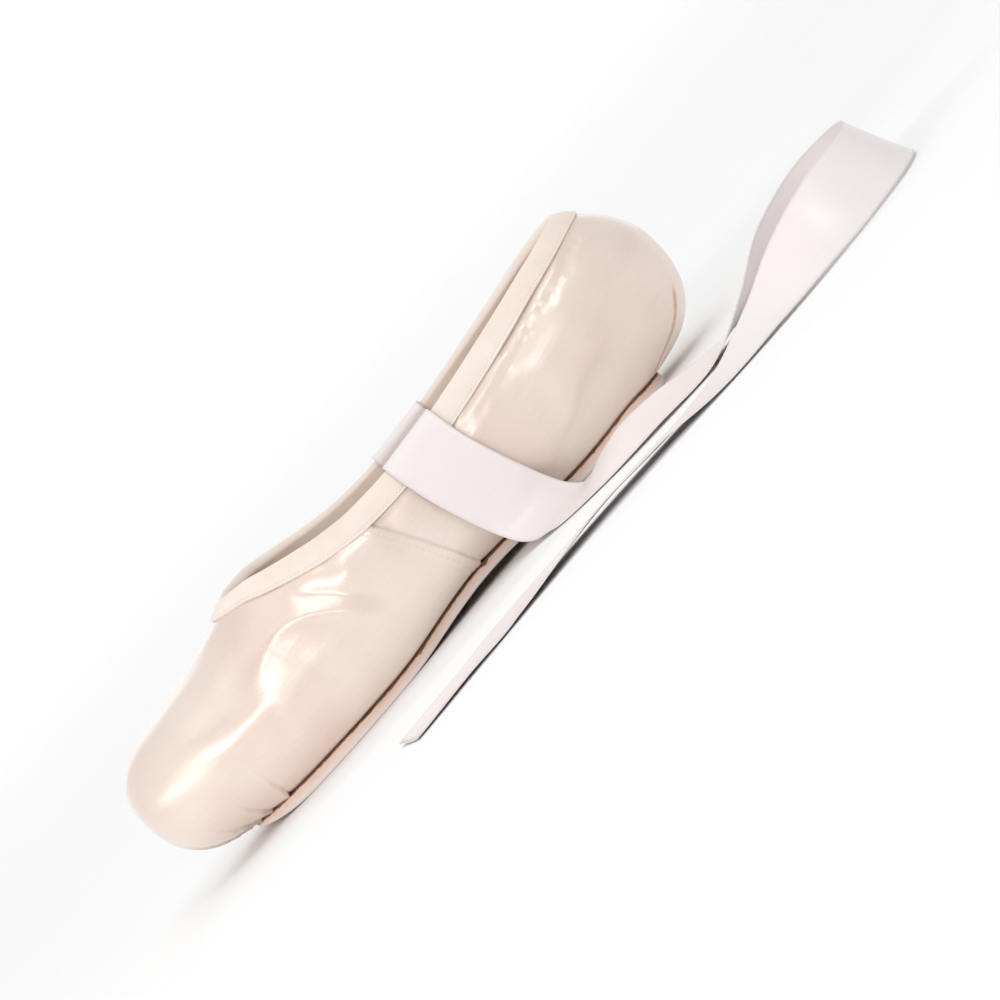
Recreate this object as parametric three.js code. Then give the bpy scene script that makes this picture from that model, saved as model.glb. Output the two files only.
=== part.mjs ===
// Demi-pointe ballet shoe, one of a pair, standing empty and unbent on a floor.
// Millimetres. +X runs from heel to toe, +Y to the wearer's left, +Z up from the floor.
// "back" is the distance behind the toe tip, so x = LENGTH / 2 - back.
import * as THREE from "three";
import { mergeVertices } from "three/addons/utils/BufferGeometryUtils.js";

// Driving dimensions
const LENGTH = 232;
const WALL = 1.6;
const GAP = 0.3;
const SOLE_THICKNESS = 3.6;
const SOLE_TIP_THICKNESS = 1.6;
const SOLE_SKIVE_LENGTH = 22;
const SOLE_BEVEL = 0.6;
const INSOLE_THICKNESS = 1.4;
const INSOLE_GAP = 0.45;
const ARCH = { lift: 3, front: 82, rear: 168 };
const BINDING_WIDTH = 7.2;
const BINDING_CLOTH = 0.55;
const BINDING_GAP = 0.45;
const BINDING_RIDGE = { height: 0.8, out: 0.5 };
const RIBBON_WIDTH = 22;
const RIBBON_CLOTH = 0.6;

// Sections of the last: half width, half width of the flat underneath, height of the widest line and height
// of the crown above the floor. Between throat and heel the crown is the instep, which the collar cuts away.
const LAST_ROWS = [
  { back: 0, half: 38.5, flat: 0, widest: 26, crown: 45.4, power: 2.4 },
  { back: 18, half: 38.5, flat: 0, widest: 25.2, crown: 46.8, power: 2.4 },
  { back: 36, half: 38.5, flat: 15, widest: 23.8, crown: 48.9, power: 2.35 },
  { back: 52, half: 38.5, flat: 23, widest: 22, crown: 51.9, power: 2.3 },
  { back: 70, half: 38.5, flat: 26, widest: 20.6, crown: 57.4, power: 2.3 },
  { back: 90, half: 37, flat: 24, widest: 20.3, crown: 64, power: 2.25 },
  { back: 110, half: 34, flat: 19, widest: 21, crown: 68.8, power: 2.2 },
  { back: 130, half: 31.6, flat: 16.5, widest: 22.6, crown: 71, power: 2.15 },
  { back: 150, half: 30.4, flat: 16.5, widest: 25, crown: 70.5, power: 2.1 },
  { back: 170, half: 30.2, flat: 18, widest: 28, crown: 68, power: 2 },
  { back: 195, half: 30.2, flat: 13, widest: 32, crown: 64.8, power: 1.9 },
  { back: 212, half: 30.2, flat: 0, widest: 32.8, crown: 64.8, power: 1.85 },
  { back: LENGTH, half: 30.2, flat: 0, widest: 33, crown: 64.8, power: 1.85 },
];
const LOWER_POWER = 2.2;

// How the last closes at toe and heel, seen from above, over the crown and under the keel.
const END_ROUNDS = {
  plan: { toeSpan: 70, toePower: 2.15, heelSpan: 42, heelPower: 2.2 },
  crown: { toeSpan: 22, toePower: 2.9, heelSpan: 37, heelPower: 1.8 },
  keel: { toeSpan: 40, toePower: 2.6, heelSpan: 29, heelPower: 2.45 },
};

// Top edge of the upper, seen from the side, from the throat to the back of the heel.
const THROAT_BACK = 66;
const HEEL_TOP_BACK = 217;
const COLLAR_ROWS = [
  { back: 74, height: 55.7 },
  { back: 82, height: 53.7 },
  { back: 90, height: 51.4 },
  { back: 100, height: 48.8 },
  { back: 112, height: 46.8 },
  { back: 126, height: 46.2 },
  { back: 140, height: 46.9 },
  { back: 158, height: 48.9 },
  { back: 184, height: 52.6 },
  { back: 202, height: 55.4 },
];

// Outsole outline: it stops short of toe and heel, where the satin is pleated under.
const SOLE = { front: 22, rear: 203, toeSpan: 46, toePower: 2.1, heelSpan: 23, heelPower: 2.6 };
const SOLE_ROWS = [
  { back: 0, half: 29 },
  { back: 68, half: 29 },
  { back: 85, half: 27.3 },
  { back: 105, half: 22.6 },
  { back: 125, half: 19.6 },
  { back: 145, half: 19.2 },
  { back: 165, half: 20.6 },
  { back: 180, half: 20.8 },
  { back: LENGTH, half: 20.8 },
];
// The opening under the upper and the insole are copies of the sole outline.
const OPENING = { front: 34, rear: 192, share: 0.62 };
const INSOLE = { front: 25, rear: 200, share: 0.87 };

// Ribbon routes: the middle of the ribbon, and the way its outer face looks. Each starts at its stitches
// inside the collar, turns over the binding, falls to the floor and lies there with one loose turn.
// Columns: x, y, z, faceX, faceY, faceZ.
const RIBBON_LEFT_ROUTE = [
  [-23.3, 27.2, 27, 0.08, -1, 0],
  [-22.9, 26.9, 33.5, 0.08, -1, -0.1],
  [-22.5, 25.9, 39.5, 0.08, -1, -0.2],
  [-22.1, 24.2, 45.2, 0.06, -1, -0.3],
  [-22, 24.3, 47.5, 0.1, -0.7, 0.7],
  [-22.1, 26.3, 48.8, 0.07, 0, 1],
  [-22.3, 28.5, 48.4, 0, 0.6, 0.8],
  [-22.5, 29.9, 46.5, -0.06, 1, 0.3],
  [-22.9, 31.2, 42, -0.08, 1, 0.2],
  [-24, 32.4, 34, -0.08, 1, 0.1],
  [-26, 33, 25, -0.08, 1, 0],
  [-28.5, 33.6, 16, -0.1, 1, 0.1],
  [-31.5, 35.2, 8, -0.2, 0.9, 0.4],
  [-35, 39.2, 3.2, -0.25, 0.6, 0.8],
  [-40, 46.5, 1.2, -0.05, 0.1, 1],
  [-49, 57, 2.5, 0.13, 0.11, 0.98],
  [-61, 66.5, 3.5, 0.16, 0.21, 0.97],
  [-77, 74, 3.1, 0.08, 0.19, 0.98],
  [-96, 78.5, 1.5, 0, 0.07, 1],
  [-117, 80, 4.5, 0, -0.34, 0.94],
  [-137, 80.5, 9.1, 0, -0.77, 0.64],
  [-155, 83.5, 10.9, -0.37, -0.83, 0.37],
  [-169, 93, 11.1, -0.75, -0.56, 0.34],
  [-174, 108, 11.1, -0.94, 0, 0.34],
  [-168.5, 123, 11.1, -0.75, 0.56, 0.34],
  [-154, 132, 10.7, -0.37, 0.84, 0.4],
  [-135, 135, 8.8, 0, 0.74, 0.67],
  [-114, 135, 4.9, 0, 0.37, 0.93],
  [-92, 132, 1.7, 0, 0.09, 1],
  [-70, 127, 1.9, 0, -0.1, 1],
  [-48, 123, 2.3, 0, -0.12, 1],
  [-26, 122.5, 1.5, 0, -0.06, 1],
  [-4, 125, 0.9, 0, 0, 1],
  [18, 129.5, 0.7, 0, 0, 1],
  [40, 135, 0.6, 0, 0, 1],
];
const RIBBON_RIGHT_ROUTE = [
  [-23.3, -27.2, 27, 0.08, 1, 0],
  [-22.9, -26.9, 33.5, 0.08, 1, -0.1],
  [-22.5, -25.9, 39.5, 0.08, 1, -0.2],
  [-22.1, -24.2, 45.2, 0.06, 1, -0.3],
  [-22, -24.3, 47.5, 0.1, 0.7, 0.7],
  [-22.1, -26.3, 48.8, 0.07, 0, 1],
  [-22.3, -28.5, 48.4, 0, -0.6, 0.8],
  [-22.5, -29.9, 46.5, -0.06, -1, 0.3],
  [-22.9, -31.2, 42, -0.08, -1, 0.2],
  [-23.6, -32.4, 34, -0.08, -1, 0.1],
  [-24.2, -33, 25, -0.08, -1, 0],
  [-24.4, -33.6, 16, 0, -1, 0.1],
  [-23.5, -35.2, 8, 0.05, -0.9, 0.4],
  [-21.5, -39.5, 3.2, 0.1, -0.6, 0.8],
  [-17.5, -47.5, 1.3, 0, -0.1, 1],
  [-9, -58.5, 2.5, -0.13, -0.11, 0.98],
  [3, -67.5, 3.5, -0.15, -0.19, 0.97],
  [19, -74, 3.1, -0.08, -0.19, 0.98],
  [37, -77.5, 1.3, 0, -0.05, 1],
  [56, -79, 4.8, 0, 0.37, 0.93],
  [74, -80, 9.1, 0, 0.77, 0.64],
  [90, -84.5, 10.9, 0.46, 0.79, 0.37],
  [101, -95.5, 11.1, 0.85, 0.42, 0.34],
  [103.5, -110.5, 11.1, 0.92, -0.18, 0.34],
  [95.5, -124.5, 11.1, 0.56, -0.75, 0.34],
  [81, -132.5, 10.5, 0.18, -0.88, 0.44],
  [63, -135.5, 8.3, 0, -0.7, 0.72],
  [43, -134.5, 4.5, 0, -0.34, 0.94],
  [22, -131, 1.5, 0, -0.07, 1],
  [0, -127.5, 1.9, 0, 0.1, 1],
  [-22, -126, 2.2, 0, 0.12, 1],
  [-44, -127.5, 1.4, 0, 0.05, 1],
  [-66, -131, 0.9, 0, 0, 1],
  [-88, -134, 0.7, 0, 0, 1],
  [-110, -135.5, 0.6, 0, 0, 1],
];

// Mesh resolution
const ARC_STEPS = 14;
const SPAN_STEPS = { toe: 11, vamp: 8, throat: 13, waist: 12, heel: 9, back: 7 };
const SOLE_STEPS = 34;
const ACROSS_SHARES = [-1, -0.85, -0.65, 0, 0.65, 0.85, 1];
const RIBBON_STEPS_PER_ROW = 2;
const FINE_STEPS = 48;
const SNAP_ROUNDS = 6;
const PROBE = 0.01;
const WELD = 1e-3;
const TINY = 1e-9;

// A smooth curve through one column of a table, with no overshoot between rows.
function column(rows, name) {
  const slopes = rows.slice(1).map((r, i) => (r[name] - rows[i][name]) / (r.back - rows[i].back));
  const tangents = rows.map((_, i) => {
    const before = slopes[i - 1];
    const after = slopes[i];
    if (before === undefined || after === undefined || before * after <= 0) return 0;
    return (2 * before * after) / (before + after);
  });
  return (back) => {
    const found = rows.findIndex((r) => r.back > back);
    const i = found < 0 ? rows.length - 2 : Math.max(found - 1, 0);
    const step = rows[i + 1].back - rows[i].back;
    const t = THREE.MathUtils.clamp((back - rows[i].back) / step, 0, 1);
    const rise = t * t * (3 - 2 * t);
    return (
      rows[i][name] * (1 - rise) +
      rows[i + 1][name] * rise +
      step * (tangents[i] * t * (1 - t) ** 2 - tangents[i + 1] * t * t * (1 - t))
    );
  };
}

// 1 along the middle of a form, falling to 0 at both ends along super-ellipses.
function endRound(back, { front = 0, rear = LENGTH, toeSpan, toePower, heelSpan, heelPower }) {
  const closed = (u, power) => (1 - THREE.MathUtils.clamp(u, 0, 1) ** power) ** (1 / power);
  return (
    closed((front + toeSpan - back) / toeSpan, toePower) *
    closed((back - rear + heelSpan) / heelSpan, heelPower)
  );
}

const halfOf = column(LAST_ROWS, "half");
const widestOf = column(LAST_ROWS, "widest");
const crownOf = column(LAST_ROWS, "crown");
const flatOf = column(LAST_ROWS, "flat");
const powerOf = column(LAST_ROWS, "power");
const soleOf = column(SOLE_ROWS, "half");

function archLift(back) {
  const t = THREE.MathUtils.clamp((back - ARCH.front) / (ARCH.rear - ARCH.front), 0, 1);
  return ARCH.lift * Math.sin(Math.PI * t) ** 2;
}

function soleHalf(back) {
  if (back <= SOLE.front || back >= SOLE.rear) return 0;
  return soleOf(back) * endRound(back, SOLE);
}

function soleCopyHalf(back, { front, rear, share }) {
  const along = (back - front) / (rear - front);
  return share * soleHalf(SOLE.front + along * (SOLE.rear - SOLE.front));
}

// The numbers of the last's section at a distance behind the toe tip.
function section(back) {
  const widest = widestOf(back);
  const base = SOLE_THICKNESS + GAP + archLift(back);
  return {
    half: halfOf(back) * endRound(back, END_ROUNDS.plan),
    widest,
    crown: widest + (crownOf(back) - widest) * endRound(back, END_ROUNDS.crown),
    keel: widest - (widest - base) * endRound(back, END_ROUNDS.keel),
    flat: flatOf(back),
    power: powerOf(back),
  };
}

const collarOf = column(
  [
    { back: THROAT_BACK, height: section(THROAT_BACK).crown },
    ...COLLAR_ROWS,
    { back: HEEL_TOP_BACK, height: section(HEEL_TOP_BACK).crown },
  ],
  "height",
);

const xOf = (back) => LENGTH / 2 - back;
const backOf = (x) => LENGTH / 2 - x;

// Below 0 inside the last, 0 on its surface, above 0 outside.
function level(x, y, z) {
  const s = section(backOf(x));
  if (z >= s.widest) {
    return (Math.abs(y) / s.half) ** s.power + ((z - s.widest) / (s.crown - s.widest)) ** s.power - 1;
  }
  const beyondFlat = Math.max(Math.abs(y) - s.flat, 0) / (s.half - s.flat);
  return beyondFlat ** LOWER_POWER + ((s.widest - z) / (s.widest - s.keel)) ** LOWER_POWER - 1;
}

function gradient(p) {
  return new THREE.Vector3(
    level(p.x + PROBE, p.y, p.z) - level(p.x - PROBE, p.y, p.z),
    level(p.x, p.y + PROBE, p.z) - level(p.x, p.y - PROBE, p.z),
    level(p.x, p.y, p.z + PROBE) - level(p.x, p.y, p.z - PROBE),
  ).divideScalar(2 * PROBE);
}

function outward(p) {
  if (Math.abs(p.x) > LENGTH / 2 - 2 * PROBE) return new THREE.Vector3(Math.sign(p.x), 0, 0);
  const normal = gradient(p);
  if (p.y === 0) normal.y = 0;
  return normal.normalize();
}

// The nearest point of the last's surface to a point close to it.
function ontoLast(p) {
  const q = p.clone();
  for (let round = 0; round < SNAP_ROUNDS; round++) {
    const g = gradient(q);
    q.addScaledVector(g, -level(q.x, q.y, q.z) / g.lengthSq());
  }
  return q;
}

// Points evenly spaced along a polyline.
function resample(points, steps) {
  const along = [0];
  points.slice(1).forEach((p, i) => along.push(along[i] + p.distanceTo(points[i])));
  return Array.from({ length: steps + 1 }, (_, k) => {
    const want = (along.at(-1) * k) / steps;
    const i = Math.max(along.findIndex((a, n) => n > 0 && a >= want - TINY), 1);
    const t = (want - along[i - 1]) / Math.max(along[i] - along[i - 1], TINY);
    return points[i - 1].clone().lerp(points[i], t);
  });
}

const inOpening = (back) => back > OPENING.front && back < OPENING.rear;
const inCollar = (back) => back > THROAT_BACK && back < HEEL_TOP_BACK;

// The left half of a section of the upper, from the opening underneath up to the collar or the crown.
function sectionArc(back) {
  const s = section(back);
  const corner = (angle, power) => [Math.cos(angle) ** (2 / power), Math.sin(angle) ** (2 / power)];
  const line = [new THREE.Vector3(xOf(back), inOpening(back) ? soleCopyHalf(back, OPENING) : 0, s.keel)];
  for (let k = 0; k <= FINE_STEPS; k++) {
    const [out, down] = corner((Math.PI / 2) * (1 - k / FINE_STEPS), LOWER_POWER);
    const y = s.flat + (s.half - s.flat) * out;
    line.push(new THREE.Vector3(xOf(back), y, s.widest - (s.widest - s.keel) * down));
  }
  const rise = inCollar(back) ? (collarOf(back) - s.widest) / (s.crown - s.widest) : 1;
  const last = Math.asin(Math.min(rise, 1) ** (s.power / 2));
  for (let k = 1; k <= FINE_STEPS; k++) {
    const [out, up] = corner((last * k) / FINE_STEPS, s.power);
    line.push(new THREE.Vector3(xOf(back), s.half * out, s.widest + (s.crown - s.widest) * up));
  }
  const arc = resample(line, ARC_STEPS);
  if (!inOpening(back)) arc[0].y = 0;
  if (!inCollar(back)) arc[ARC_STEPS].y = 0;
  return arc;
}

// Stations from one distance to another, closer together at both ends.
function eased(from, to, steps) {
  return Array.from({ length: steps + 1 }, (_, k) => {
    if (k === steps) return to;
    return from + ((to - from) * (1 - Math.cos((Math.PI * k) / steps))) / 2;
  });
}

// Stations along the whole shoe, close together wherever an edge of the upper starts or ends.
function stations() {
  const middle = (THROAT_BACK + OPENING.rear) / 2;
  return [
    ...eased(0, OPENING.front, SPAN_STEPS.toe),
    ...eased(OPENING.front, THROAT_BACK, SPAN_STEPS.vamp).slice(1),
    ...eased(THROAT_BACK, middle, SPAN_STEPS.throat).slice(1),
    ...eased(middle, OPENING.rear, SPAN_STEPS.waist).slice(1),
    ...eased(OPENING.rear, HEEL_TOP_BACK, SPAN_STEPS.heel).slice(1),
    ...eased(HEEL_TOP_BACK, LENGTH, SPAN_STEPS.back).slice(1),
  ];
}

// A closed solid from triangles given as corner points.
function solid(corners) {
  const soup = new THREE.BufferGeometry();
  soup.setAttribute("position", new THREE.Float32BufferAttribute(corners.flatMap((p) => p.toArray()), 3));
  const merged = mergeVertices(soup, WELD);
  const index = merged.index.array;
  const kept = [];
  for (let i = 0; i < index.length; i += 3) {
    const [a, b, c] = index.slice(i, i + 3);
    if (a !== b && b !== c && a !== c) kept.push(a, b, c);
  }
  merged.setIndex(kept);
  merged.computeVertexNormals();
  return merged;
}

const quad = (a, b, c, d) => [a, b, c, a, c, d];

// Joins closed rings of points, each with the same count, into the corners of a tube's triangles. The sides
// listed in turned are cut along their other diagonal.
function skin(rings, turned = []) {
  return rings.slice(1).flatMap((to, i) => {
    const from = rings[i];
    return from.flatMap((p, k) => {
      const next = (k + 1) % from.length;
      const others = [from[next], to[next], to[k]];
      return turned.includes(k) ? quad(...others, p) : quad(p, ...others);
    });
  });
}

// The upper: satin and lining as one wall, open at the collar and underneath.
function upperGeometry() {
  const backs = stations();
  const outer = backs.map(sectionArc);
  const inner = outer.map((arc) => arc.map((p) => p.clone().addScaledVector(outward(p), -WALL)));
  const left = [];
  for (let i = 0; i + 1 < backs.length; i++) {
    for (let j = 0; j < ARC_STEPS; j++) {
      left.push(...quad(outer[i][j], outer[i + 1][j], outer[i + 1][j + 1], outer[i][j + 1]));
      left.push(...quad(inner[i][j], inner[i][j + 1], inner[i + 1][j + 1], inner[i + 1][j]));
    }
    const rim = (j, flip) => {
      if (outer[i][j].y === 0 && outer[i + 1][j].y === 0) return;
      const around = [outer[i][j], outer[i + 1][j], inner[i + 1][j], inner[i][j]];
      left.push(...quad(...(flip ? around.reverse() : around)));
    };
    rim(0, true);
    rim(ARC_STEPS, false);
  }
  return solid([...left, ...mirrored(left)]);
}

// The same triangles on the other side of the shoe's middle plane, turned to face out.
function mirrored(corners) {
  const flipped = corners.map((p) => new THREE.Vector3(p.x, p.y === 0 ? 0 : -p.y, p.z));
  for (let i = 0; i < flipped.length; i += 3) {
    [flipped[i + 1], flipped[i + 2]] = [flipped[i + 2], flipped[i + 1]];
  }
  return flipped;
}

// The collar's edge on the left side, with the way out of the wall and the way down it.
function collarStations() {
  const edge = stations()
    .filter((back) => back >= THROAT_BACK && back <= HEEL_TOP_BACK)
    .map((back) => sectionArc(back)[ARC_STEPS]);
  return edge.map((point, i) => {
    const mirror = (p) => new THREE.Vector3(p.x, -p.y, p.z);
    const before = edge[i - 1] ?? mirror(edge[1]);
    const after = edge[i + 1] ?? mirror(edge[i - 1]);
    const normal = outward(point);
    const down = after.clone().sub(before).cross(normal).normalize();
    return { point, normal, down };
  });
}

// The binding tape: a channel folded over the collar's edge, clear of the wall on both faces.
function bindingGeometry() {
  const face = BINDING_GAP + BINDING_CLOTH;
  const ring = ({ point, normal, down }) => {
    const wall = (depth, out) => {
      const p = ontoLast(point.clone().addScaledVector(down, depth));
      return p.addScaledVector(depth ? outward(p) : normal, out);
    };
    const above = (height, out) => point.clone().addScaledVector(down, -height).addScaledVector(normal, out);
    const depths = [BINDING_WIDTH, BINDING_WIDTH / 2, 0];
    const ridge = { height: BINDING_RIDGE.height * face, out: BINDING_RIDGE.out * face };
    return [
      ...depths.map((depth) => wall(depth, BINDING_GAP)),
      above(BINDING_GAP, BINDING_GAP),
      above(BINDING_GAP, -WALL - BINDING_GAP),
      ...depths.toReversed().map((depth) => wall(depth, -WALL - BINDING_GAP)),
      ...depths.map((depth) => wall(depth, -WALL - face)),
      above(ridge.height, -WALL - ridge.out),
      above(ridge.height, ridge.out),
      ...depths.toReversed().map((depth) => wall(depth, face)),
    ];
  };
  const left = skin(collarStations().map(ring));
  return solid([...left, ...mirrored(left)]);
}

// Height of the underside of the last beside its middle line.
function undersideOf(s, y) {
  const beyondFlat = Math.max(Math.abs(y) - s.flat, 0) / (s.half - s.flat);
  return s.widest - (s.widest - s.keel) * (1 - beyondFlat ** LOWER_POWER) ** (1 / LOWER_POWER);
}

// The outsole: its top follows the underside of the upper, and it lies flat under the ball and the heel.
function outsoleGeometry() {
  const rings = eased(SOLE.front, SOLE.rear, SOLE_STEPS).map((back) => {
    const s = section(back);
    const half = soleHalf(back);
    const skive = Math.min((back - SOLE.front) / SOLE_SKIVE_LENGTH, 1);
    const share = Math.sin((Math.PI / 2) * skive);
    const thickness = THREE.MathUtils.lerp(SOLE_TIP_THICKNESS, SOLE_THICKNESS, share);
    const under = s.keel - GAP - thickness;
    const soft = Math.min(SOLE_BEVEL, half);
    const across = ACROSS_SHARES.map((share) => share * half);
    const at = (y, z) => new THREE.Vector3(xOf(back), y, z);
    return [
      ...across.map((y) => at(y, undersideOf(s, y) - GAP)),
      at(half, under + SOLE_BEVEL),
      at(half - soft, under),
      at(0, under),
      at(soft - half, under),
      at(-half, under + SOLE_BEVEL),
    ];
  });
  return solid(skin(rings));
}

// The insole: a thin sock that follows the inside of the upper, resting on its turned-in edge.
function insoleGeometry() {
  const rings = eased(INSOLE.front, INSOLE.rear, SOLE_STEPS).map((back) => {
    const s = section(back);
    const half = soleCopyHalf(back, INSOLE);
    const across = ACROSS_SHARES.map((share) => share * half);
    const at = (y, lift) => new THREE.Vector3(xOf(back), y, undersideOf(s, y) + WALL + INSOLE_GAP + lift);
    return [...across.map((y) => at(y, INSOLE_THICKNESS)), ...across.toReversed().map((y) => at(y, 0))];
  });
  return solid(skin(rings));
}

// A ribbon: a flat strip swept along its route, with its width square to the way its face looks. Both faces
// are cut along the same diagonal, so that they stay parallel where the strip twists.
function ribbonGeometry(route) {
  const middle = new THREE.CatmullRomCurve3(route.map(([x, y, z]) => new THREE.Vector3(x, y, z)));
  const faces = new THREE.CatmullRomCurve3(route.map(([, , , x, y, z]) => new THREE.Vector3(x, y, z)));
  const steps = (route.length - 1) * RIBBON_STEPS_PER_ROW;
  const rings = Array.from({ length: steps + 1 }, (_, k) => {
    const point = middle.getPoint(k / steps);
    const along = middle.getTangent(k / steps);
    const across = along.clone().cross(faces.getPoint(k / steps)).normalize();
    const face = across.clone().cross(along).multiplyScalar(RIBBON_CLOTH / 2);
    across.multiplyScalar(RIBBON_WIDTH / 2);
    const corner = (a, f) => point.clone().addScaledVector(across, a).addScaledVector(face, f);
    return [corner(1, -1), corner(-1, -1), corner(-1, 1), corner(1, 1)];
  });
  const outerFace = 2;
  return solid([...skin(rings, [outerFace]), ...quad(...rings[0].toReversed()), ...quad(...rings.at(-1))]);
}

function finish(name, geometry, color, roughness) {
  const mesh = new THREE.Mesh(geometry, new THREE.MeshStandardMaterial({ color, roughness, metalness: 0 }));
  mesh.name = name;
  return mesh;
}

const shoe = new THREE.Group();
shoe.add(
  finish("upper", upperGeometry(), 0xeddace, 0.35),
  finish("binding", bindingGeometry(), 0xf2e6df, 0.8),
  finish("outsole", outsoleGeometry(), 0xd9bfae, 0.85),
  finish("insole", insoleGeometry(), 0xe9ddcf, 0.9),
  finish("ribbon_left", ribbonGeometry(RIBBON_LEFT_ROUTE), 0xf0ebea, 0.4),
  finish("ribbon_right", ribbonGeometry(RIBBON_RIGHT_ROUTE), 0xf0ebea, 0.4),
);

export default shoe;
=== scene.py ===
# %% [markdown]
# # Dressing a demi-pointe shoe
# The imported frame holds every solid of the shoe, in metres, where it belongs: +X runs from heel to toe, +Y
# to the wearer's left and +Z up from the floor. Those solids are plain. In this lesson each one is replaced
# by a finished piece of satin, tape, leather or cloth that sits in exactly the same place.

# %% Load the frame and keep its box
import math

import bmesh
import bpy
import numpy as np
from mathutils import Matrix, Vector
from mathutils.bvhtree import BVHTree


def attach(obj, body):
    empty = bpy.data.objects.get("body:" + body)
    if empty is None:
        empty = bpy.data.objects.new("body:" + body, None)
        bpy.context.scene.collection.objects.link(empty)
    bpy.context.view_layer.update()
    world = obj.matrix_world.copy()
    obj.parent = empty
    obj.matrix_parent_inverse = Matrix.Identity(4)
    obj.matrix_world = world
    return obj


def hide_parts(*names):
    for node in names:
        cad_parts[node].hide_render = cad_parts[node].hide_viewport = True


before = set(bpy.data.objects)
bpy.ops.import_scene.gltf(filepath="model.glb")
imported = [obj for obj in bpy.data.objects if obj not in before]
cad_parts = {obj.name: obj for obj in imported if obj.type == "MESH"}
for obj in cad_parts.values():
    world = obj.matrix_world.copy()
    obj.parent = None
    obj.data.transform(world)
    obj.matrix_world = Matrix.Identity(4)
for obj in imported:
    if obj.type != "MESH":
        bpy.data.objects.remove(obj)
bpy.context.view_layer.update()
MM = 0.001

# %% [markdown]
# ## The camera
# The photograph looks square at the left side of the shoe, with the heel high and the toe low. The shoe
# stands flat here, so the camera is rolled about its own axis instead, which gives the same picture of the
# shoe. A long lens from far away keeps the side view free of perspective.

# %% Make the camera
VIEW_WIDTH = 0.300
CAMERA_DISTANCE = 1.8
CAMERA_TILT = math.radians(5.5)
CAMERA_ROLL = math.radians(48.8)
VIEW_OFFSET = (0.008, 0.029)
SENSOR_WIDTH = 36

camera_data = bpy.data.cameras.new("photo_camera")
camera_data.sensor_width = SENSOR_WIDTH
camera_data.lens = SENSOR_WIDTH * CAMERA_DISTANCE / VIEW_WIDTH
camera = bpy.data.objects.new("photo_camera", camera_data)
bpy.context.scene.collection.objects.link(camera)
bpy.context.scene.camera = camera

toward = Vector((0, math.cos(CAMERA_TILT), math.sin(CAMERA_TILT)))
upright = Vector((0, -math.sin(CAMERA_TILT), math.cos(CAMERA_TILT)))
toe_way = Vector((1, 0, 0))
picture_right = -math.cos(CAMERA_ROLL) * toe_way - math.sin(CAMERA_ROLL) * upright
picture_up = -math.sin(CAMERA_ROLL) * toe_way + math.cos(CAMERA_ROLL) * upright
place = VIEW_OFFSET[0] * picture_right + VIEW_OFFSET[1] * picture_up + CAMERA_DISTANCE * toward
axes = Matrix((picture_right, picture_up, toward)).transposed().to_4x4()
camera.matrix_world = Matrix.Translation(place) @ axes
print("camera at", [round(c, 3) for c in place], "lens", round(camera_data.lens))

# %% [markdown]
# ## Helpers for cloth made from rows of points
# Most of the shoe is cloth over a form. Modelling it by hand would lose the exact fit to the solids, so it
# is made as a grid: rows of points that a short function joins into quads. Another helper runs a smooth
# curve through a table of points. Points are in millimetres until they become a mesh.

# %% Grid and curve helpers
MM_IN_CM = 10
MERGE_WITHIN = 2e-6


def unit(vectors):
    """The same vectors, each of length one."""
    return vectors / np.maximum(np.linalg.norm(vectors, axis=-1, keepdims=True), 1e-12)


def smooth(low, high, values):
    """0 below low, 1 above high, and a soft step between them. High may be the smaller of the two."""
    t = np.clip((np.asarray(values, float) - low) / (high - low), 0, 1)
    return t * t * (3 - 2 * t)


def through(points, steps):
    """Points along a centripetal Catmull-Rom curve through the given ones, with that many steps a span."""
    p = np.asarray(points, float)
    ends = np.vstack([2 * p[0] - p[1], p, 2 * p[-1] - p[-2]])
    curve = []
    for i in range(len(p) - 1):
        a, b, c, d = ends[i : i + 4]
        spans = [np.linalg.norm(w - v) ** 0.5 for v, w in ((a, b), (b, c), (c, d))]
        mid = spans[1] if spans[1] > 1e-4 else 1.0
        pre, post = (s if s > 1e-4 else mid for s in (spans[0], spans[2]))
        leave = mid * ((b - a) / pre - (c - a) / (pre + mid) + (c - b) / mid)
        reach = mid * ((c - b) / mid - (d - b) / (mid + post) + (d - c) / post)
        square = 3 * c - 3 * b - 2 * leave - reach
        cube = 2 * b - 2 * c + leave + reach
        for t in np.arange(steps) / steps:
            curve.append(b + leave * t + square * t**2 + cube * t**3)
    return np.array(curve + [p[-1]])


def run_along(points):
    """The length of a line of points from the first one to each of them."""
    return np.concatenate([[0], np.cumsum(np.linalg.norm(np.diff(points, axis=0), axis=1))])


def grid_faces(rows, columns, wrap=False):
    """Quads between neighbouring rows of points, each row closed into a ring if wrap is set."""
    i, j = np.meshgrid(np.arange(rows - 1), np.arange(columns if wrap else columns - 1), indexing="ij")
    k = (j + 1) % columns
    corners = [i * columns + j, i * columns + k, (i + 1) * columns + k, (i + 1) * columns + j]
    return np.stack(corners, -1).reshape(-1, 4)


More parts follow.
